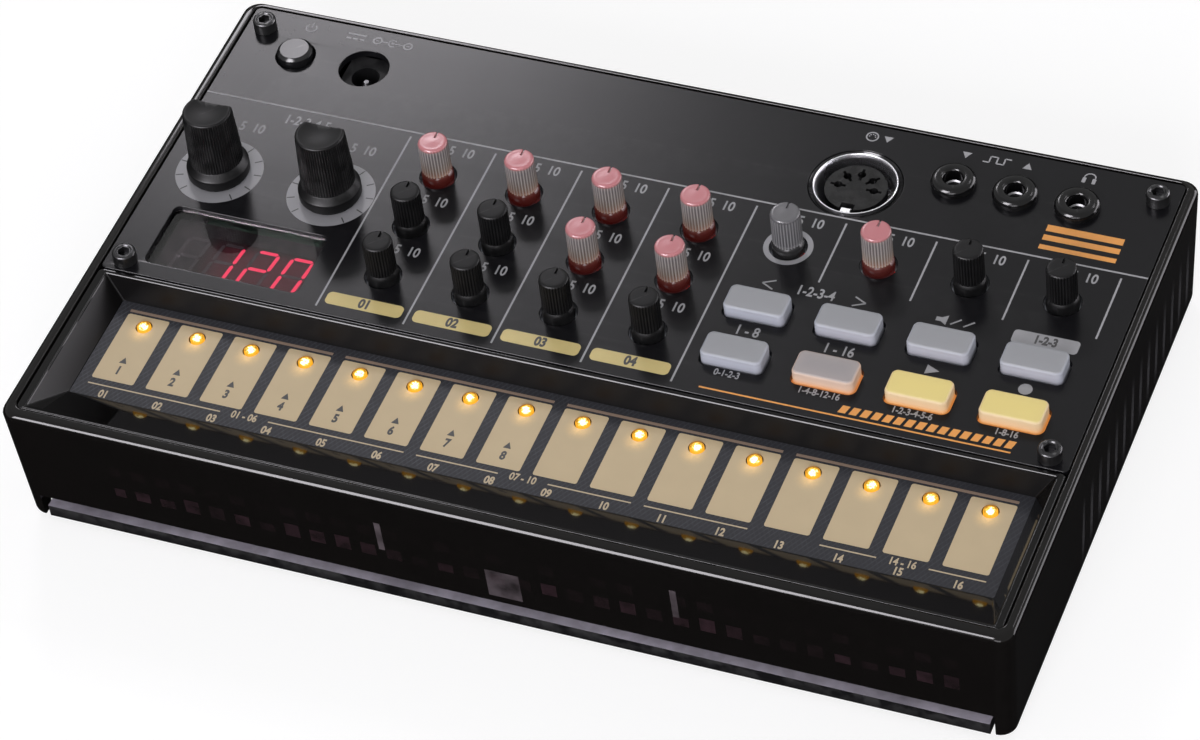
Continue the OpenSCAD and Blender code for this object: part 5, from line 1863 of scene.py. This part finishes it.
@dataclass
class LargeKnob:
    """Tall fluted grip with a leaning flat face, on a rounded skirt."""

    skirt_r: float = 6.0
    skirt_top: float = 31.7
    grip_foot: float = 33.0
    foot_r: float = 5.2
    top_r: float = 4.7
    flutes: int = 60
    flute_depth: float = 0.16
    flat_y: float = 2.2
    flat_lean: float = 20.0
    shaft_r: float = 1.5
    edge_r: float = 0.5
    dish: float = 0.45
    detail: int = 4

    def form(self) -> Form:
        """Makes one knob about the origin."""
        low, high = node_box("time_knob")
        count = self.flutes * self.detail
        foot = node_box("control_panel")[1].z + 0.4
        profile = [(self.shaft_r, low.z), (self.shaft_r, foot), (self.skirt_r - 0.35, foot)]
        profile += arc((self.skirt_r - 0.35, foot + 0.35), 0.35, -60, 0, 3)
        profile += arc((self.skirt_r - 0.45, self.skirt_top - 0.45), 0.45, 0, 65, 4)
        profile += [(self.foot_r + 0.1, self.grip_foot - 0.25), (self.foot_r - 0.12, self.grip_foot - 0.05)]
        rings = [level(circle((0, 0), r, count), z) for r, z in profile]
        edge = self.edge_r
        taper = (self.top_r - self.foot_r) / (high.z - self.grip_foot)
        grip = [(self.foot_r + taper * (z - self.grip_foot), z, 1.0)
                for z in (self.grip_foot + 0.05, self.grip_foot + 0.25, high.z - edge)]
        grip += [(self.top_r - edge * (1 - x), high.z - edge + z * edge, max(0.0, 1 - z * 1.4))
                 for x, z in arc((0, 0), 1.0, 15, 85, 5)]
        rings += [fluted(r, self.flute_depth * share, self.flutes, z, self.detail) for r, z, share in grip]
        for share in (0.94, 0.85, 0.65, 0.4, 0.15, 0.02):
            dish = self.dish * (1 - share * share)
            rings.append(level(circle((0, 0), (self.top_r - edge) * share, count), high.z - dish))
        form = Form().loft(rings).cut(self._flat(high.z))
        return form.changed("BEVEL", width=0.14, segments=2, limit_method="ANGLE",
                            angle_limit=math.radians(50))

    def _flat(self, top: float) -> Form:
        """Makes the block that cuts the leaning flat face."""
        lean = math.radians(self.flat_lean)
        tool = Form().box((-10, 0, -30), (10, 20, 10))
        bmesh.ops.rotate(tool.bm, verts=tool.bm.verts, cent=(0, 0, 0), matrix=Matrix.Rotation(lean, 3, "X"))
        return tool.moved(0, self.flat_y, top)

    def build(self, controls: Controls) -> None:
        """Makes both large knobs, each on its own body."""
        master = self.form()
        for name, (x, y) in controls.large.items():
            master.copy().moved(x, y).settle(name + "_grip", BLACK_KNOB, name, [name], sharp=40)


@dataclass
class RubberKey:
    """Soft key with round edges, a faint crown and a flange under the panel."""

    size: Point = (11.7, 6.0)
    corner_r: float = 1.2
    edge_r: float = 0.6
    flange: float = 0.9
    flange_t: float = 0.8
    crown: float = 0.06

    def form(self) -> Form:
        """Makes one key about the origin."""
        low, high = node_box("back_button")
        w, d = self.size

        def ring(grow: float, z: float, radius: float) -> Ring:
            """Gives a ring of the key."""
            return level(slab((0, 0), w + 2 * grow, d + 2 * grow, radius, 8), z)

        top = low.z + self.flange_t
        rings = [ring(self.flange, low.z, 2.1), ring(self.flange, top, 2.1),
                 ring(0, top + 0.02, self.corner_r), ring(0, high.z - self.edge_r, self.corner_r)]
        for x, z in arc((0, 0), 1.0, 15, 90, 6):
            inset = self.edge_r * (1 - x)
            height = high.z - self.crown - self.edge_r * (1 - z)
            rings.append(ring(-inset, height, self.corner_r - inset * 0.6))
        return Form().loft(rings + [ring(-1.6, high.z - 0.02, 0.6), ring(-2.6, high.z, 0.3)])

    def build(self, controls: Controls) -> None:
        """Makes all the keys, each on its own body."""
        finishes = {"play_button": LIT_RUBBER, "record_button": LIT_RUBBER, "step_button": GLOW_RUBBER}
        for name, (x, y) in controls.keys.items():
            finish = finishes.get(name, GREY_RUBBER)
            self.form().moved(x, y).settle(name + "_cap", finish, name, [name], sharp=44)


@dataclass
class PowerButton:
    """Round satin button with a soft edge."""

    radius: float = 3.5
    edge_r: float = 0.7

    def build(self) -> None:
        """Makes the button."""
        low, high = node_box("power_button")
        under = node_box("control_panel")[0].z
        r = self.radius
        rim = r - self.edge_r
        profile = [(1.5, low.z), (1.5, under - 1.3), (r + 0.8, under - 1.3), (r + 0.8, under - 0.3),
                   (r, under - 0.3), (r, high.z - self.edge_r), (r - 0.08, high.z - self.edge_r + 0.2),
                   (rim + 0.12, high.z - 0.06), (rim, high.z), (r * 0.4, high.z), (0.05, high.z)]
        form = Form().lathe(profile, node_centre("power_button"))
        form.settle("power_cap", BUTTON, "power_button", ["power_button"], sharp=15)


@dataclass
class Inlets:
    """Round plated socket and the three small jacks."""

    controls: Controls
    shell_r: float = 8.0
    shell_t: float = 0.7
    jack_r: float = 4.3
    bore_r: float = 1.8
    neck_r: float = 3.1
    dome_r: float = 1.15

    def build(self) -> None:
        """Makes the shell, its surround and the jacks."""
        self._shell()
        self._jacks()

    def _shell(self) -> None:
        """Makes the plated ring with its rounded mouth and its tongue."""
        low, high = node_box("din_shell")
        x, y = node_centre("din_shell")
        r = self.shell_r
        bore = r - self.shell_t
        top = high.z
        profile = [(bore, low.z), (r, low.z), (r, top - 0.12), (r - 0.04, top - 0.03), (r - 0.12, top),
                   (r - 0.22, top), (r - 0.3, top - 0.06), (bore, top - 0.9)]
        form = Form().lathe(profile, (x, y), 96, closed=True)
        face = node_box("din_housing")[1].z
        form.box((x - 0.9, y - r + self.shell_t / 2, low.z), (x + 0.9, y - 5.6, face + 0.02))
        form.settle("din_ring", CHROME, replaced=["din_shell"])
        rim = [(8.1, top - 2.3), (8.9, top - 2.3), (8.9, top - 0.5), (8.75, top - 0.32), (8.1, top - 0.9)]
        Form().lathe(rim, (x, y), 96, closed=True).settle("din_surround", SOCKET_BLACK)

    def _jacks(self) -> None:
        """Makes each jack's bush, neck, body and contact sleeve."""
        under, panel = (corner.z for corner in node_box("control_panel"))
        for name, (x, y) in self.controls.jacks.items():
            low, high = node_box(name)
            floor = low.z + 3.9
            profile = [(0.05, floor), (self.bore_r, floor), (self.bore_r, high.z - 0.75)]
            profile += arc((self.bore_r + 0.6, high.z - 0.6), 0.6, 180, 90, 4)
            profile += arc((self.jack_r - self.dome_r, high.z - self.dome_r), self.dome_r, 90, 0, 7)
            profile += [(self.jack_r - 0.15, panel), (self.neck_r, panel), (self.neck_r, under - 0.02),
                        (self.neck_r, low.z + 0.5), (0.05, low.z + 0.5)]
            form = Form().lathe(profile, (x, y), 64)
            form.box((x - 4.5, y - 5.5, low.z), (x + 4.5, y + 5.5, floor - 0.3))
            form.settle(name + "_bush", SOCKET_BLACK, replaced=[name])
        top = node_box("sync_in_jack")[1].z
        profile = [(1.45, top - 7), (1.75, top - 7), (1.75, top - 2.6), (1.45, top - 2.8)]
        repeated("jack_sleeves", Form().lathe(profile, count=48, closed=True), place_tree(), SLEEVE,
                 places=level(self.controls.jacks.values(), 0.0))


# ---- Studio ----


@dataclass
class Studio:
    """Plain pale floor, soft light and the camera."""

    camera_place: Place = (0.27838, -0.55251, 0.66068)
    right: Place = (0.92603, 0.36269, -0.10453)
    up: Place = (-0.1996, 0.7056, 0.6799)
    back: Place = (0.32035, -0.60875, 0.72581)
    lens: float = 145.107
    shift: Point = (0.03758, 0.0130)
    sky: float = 0.4
    tint: Colour = (1.0, 0.965, 1.02)
    floor_reach: float = 6.0
    floor_tone: Colour = (0.34, 0.34, 0.34)
    floor_glow: float = 0.75
    flag_r: float = 0.8
    flag_h: float = 0.24
    flag_y: float = -0.055
    flag_z: float = 0.0005
    flag_tones: Point = (0.01, 0.032)

    def build(self) -> None:
        """Sets the colour view, the camera, the lamps, the world, the floor and the dark cards."""
        bpy.context.scene.view_settings.view_transform = "Standard"
        self._camera()
        self._world()
        self._floor()
        self._flags()
        self._softbox("key_softbox", (-0.614, 0.992, 0.943), (0.248, 0.15), 23.6)
        self._softbox("rear_softbox", (0.3, 0.85, 1.05), (0.5, 0.06), 15.0)
        self._softbox("front_softbox", (0.3, -1.5, 0.8), (0.9, 0.7), 9.0)
        self._gleam("edge_softbox", (-0.45, -0.84, 1.02), (0.6, 0.9), 39.0)
        self._gleam("side_softbox", (0.516, 0.4, 0.14), (0.6, 0.28), 8.5)

    def _camera(self) -> None:
        """Places the camera."""
        data = bpy.data.cameras.new("camera")
        data.lens = self.lens
        data.sensor_width = 36.0
        data.shift_x, data.shift_y = self.shift
        data.clip_start = 0.01
        camera = linked("camera", data)
        turn = Matrix((self.right, self.up, self.back)).transposed().to_4x4()
        camera.matrix_world = Matrix.Translation(self.camera_place) @ turn
        bpy.context.scene.camera = camera

    def _softbox(self, name: str, place: Place, size: Point, radiance: float) -> bpy.types.Object:
        """Adds a rectangular lamp that faces the object.

        Args:
            name: Name of the lamp.
            place: Its place, in metres.
            size: Its width and depth, in metres.
            radiance: Brightness of its face, where 1 is white.

        Returns:
            The lamp.
        """
        data = bpy.data.lights.new(name, "AREA")
        data.shape = "RECTANGLE"
        data.size, data.size_y = size
        data.energy = radiance * math.pi * size[0] * size[1]
        data.color = self.tint
        lamp = linked(name, data)
        lamp.location = place
        lamp.rotation_euler = Vector(place).to_track_quat("Z", "Y").to_euler()
        return lamp

    def _gleam(self, name: str, place: Place, size: Point, radiance: float) -> None:
        """Adds a card of light that shows only as a gleam on polished faces."""
        lamp = self._softbox(name, place, size, radiance)
        lamp.visible_diffuse = False
        lamp.visible_camera = False

    def _seen(self, graph: Graph) -> Socket:
        """Gives 1 where the background is looked at, mirrored or seen through."""
        path = graph.node("ShaderNodeLightPath").outputs
        mirrored = graph.math("MAXIMUM", path["Is Glossy Ray"], path["Is Transmission Ray"])
        return graph.math("MAXIMUM", path["Is Camera Ray"], mirrored)

    def _world(self) -> None:
        """Makes the sky: even light on the object, white where it is seen."""
        world = bpy.data.worlds.new("studio")
        bpy.context.scene.world = world
        graph = emptied(world)
        soft, white = (graph.node("ShaderNodeBackground", {"Color": WHITE, "Strength": strength}).outputs[0]
                       for strength in (self.sky, 1.0))
        mixed = graph.node("ShaderNodeMixShader", {0: self._seen(graph), 1: soft, 2: white})
        graph.node("ShaderNodeOutputWorld", {0: mixed.outputs[0]})

    def _floor(self) -> None:
        """Lays a pale floor that keeps the shadow and reads white."""
        mesh = bpy.data.meshes.new("floor")
        reach = self.floor_reach
        mesh.from_pydata(level([(-reach, -reach), (reach, -reach), (reach, reach), (-reach, reach)], 0), [],
                         [(0, 1, 2, 3)])
        made = bpy.data.materials.new("floor_finish")
        graph = emptied(made)
        matt = graph.node("ShaderNodeBsdfDiffuse", {"Color": self.floor_tone})
        strength = graph.times(self._seen(graph), self.floor_glow)
        glow = graph.node("ShaderNodeEmission", {"Color": WHITE, "Strength": strength})
        both = graph.node("ShaderNodeAddShader", {0: matt.outputs[0], 1: glow.outputs[0]})
        graph.node("ShaderNodeOutputMaterial", {0: both.outputs[0]})
        mesh.materials.append(made)
        linked("floor", mesh)

    def _flags(self) -> None:
        """Puts dark cards round the object that only its polished faces mirror."""
        bm = bmesh.new()
        outline = circle((0, 0), self.flag_r, 48)
        ring = [bm.verts.new(place) for place in level(outline, self.flag_z)]
        wall = [bm.verts.new(place) for place in level(outline, self.flag_h)]
        for index, side in enumerate((min, max)):
            half = level([(x, side(y, self.flag_y)) for x, y in outline], self.flag_z)
            bm.faces.new([bm.verts.new(place) for place in half]).material_index = index
        for i in range(len(ring)):
            j = (i + 1) % len(ring)
            bm.faces.new((ring[i], ring[j], wall[j], wall[i]))
        mesh = bpy.data.meshes.new("flags")
        bm.to_mesh(mesh)
        bm.free()
        for tone in self.flag_tones:
            made = bpy.data.materials.new("flag_finish")
            graph = emptied(made)
            cloth = graph.node("ShaderNodeBsdfDiffuse", {"Color": (tone, tone, tone)})
            graph.node("ShaderNodeOutputMaterial", {0: cloth.outputs[0]})
            mesh.materials.append(made)
        flags = linked("flags", mesh)
        for kind in ("camera", "diffuse", "transmission", "volume_scatter", "shadow"):
            setattr(flags, "visible_" + kind, False)


def main() -> None:
    """Builds the object in order."""
    logging.basicConfig(level=logging.INFO, format="%(name)s: %(message)s")
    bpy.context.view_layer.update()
    Studio().build()
    controls = Controls.read()
    plain_nodes()
    CaseShell().build()
    screws = PanelScrews()
    PanelPlate(controls).build(screws.places())
    screws.build()
    PanelPrint(controls).build()
    Bezel().build()
    TouchStrip().build()
    Display().build()
    LargeKnob().build(controls)
    SmallKnob().build(controls)
    RubberKey().build(controls)
    PowerButton().build()
    Inlets(controls).build()


if __name__ == "__main__":
    main()
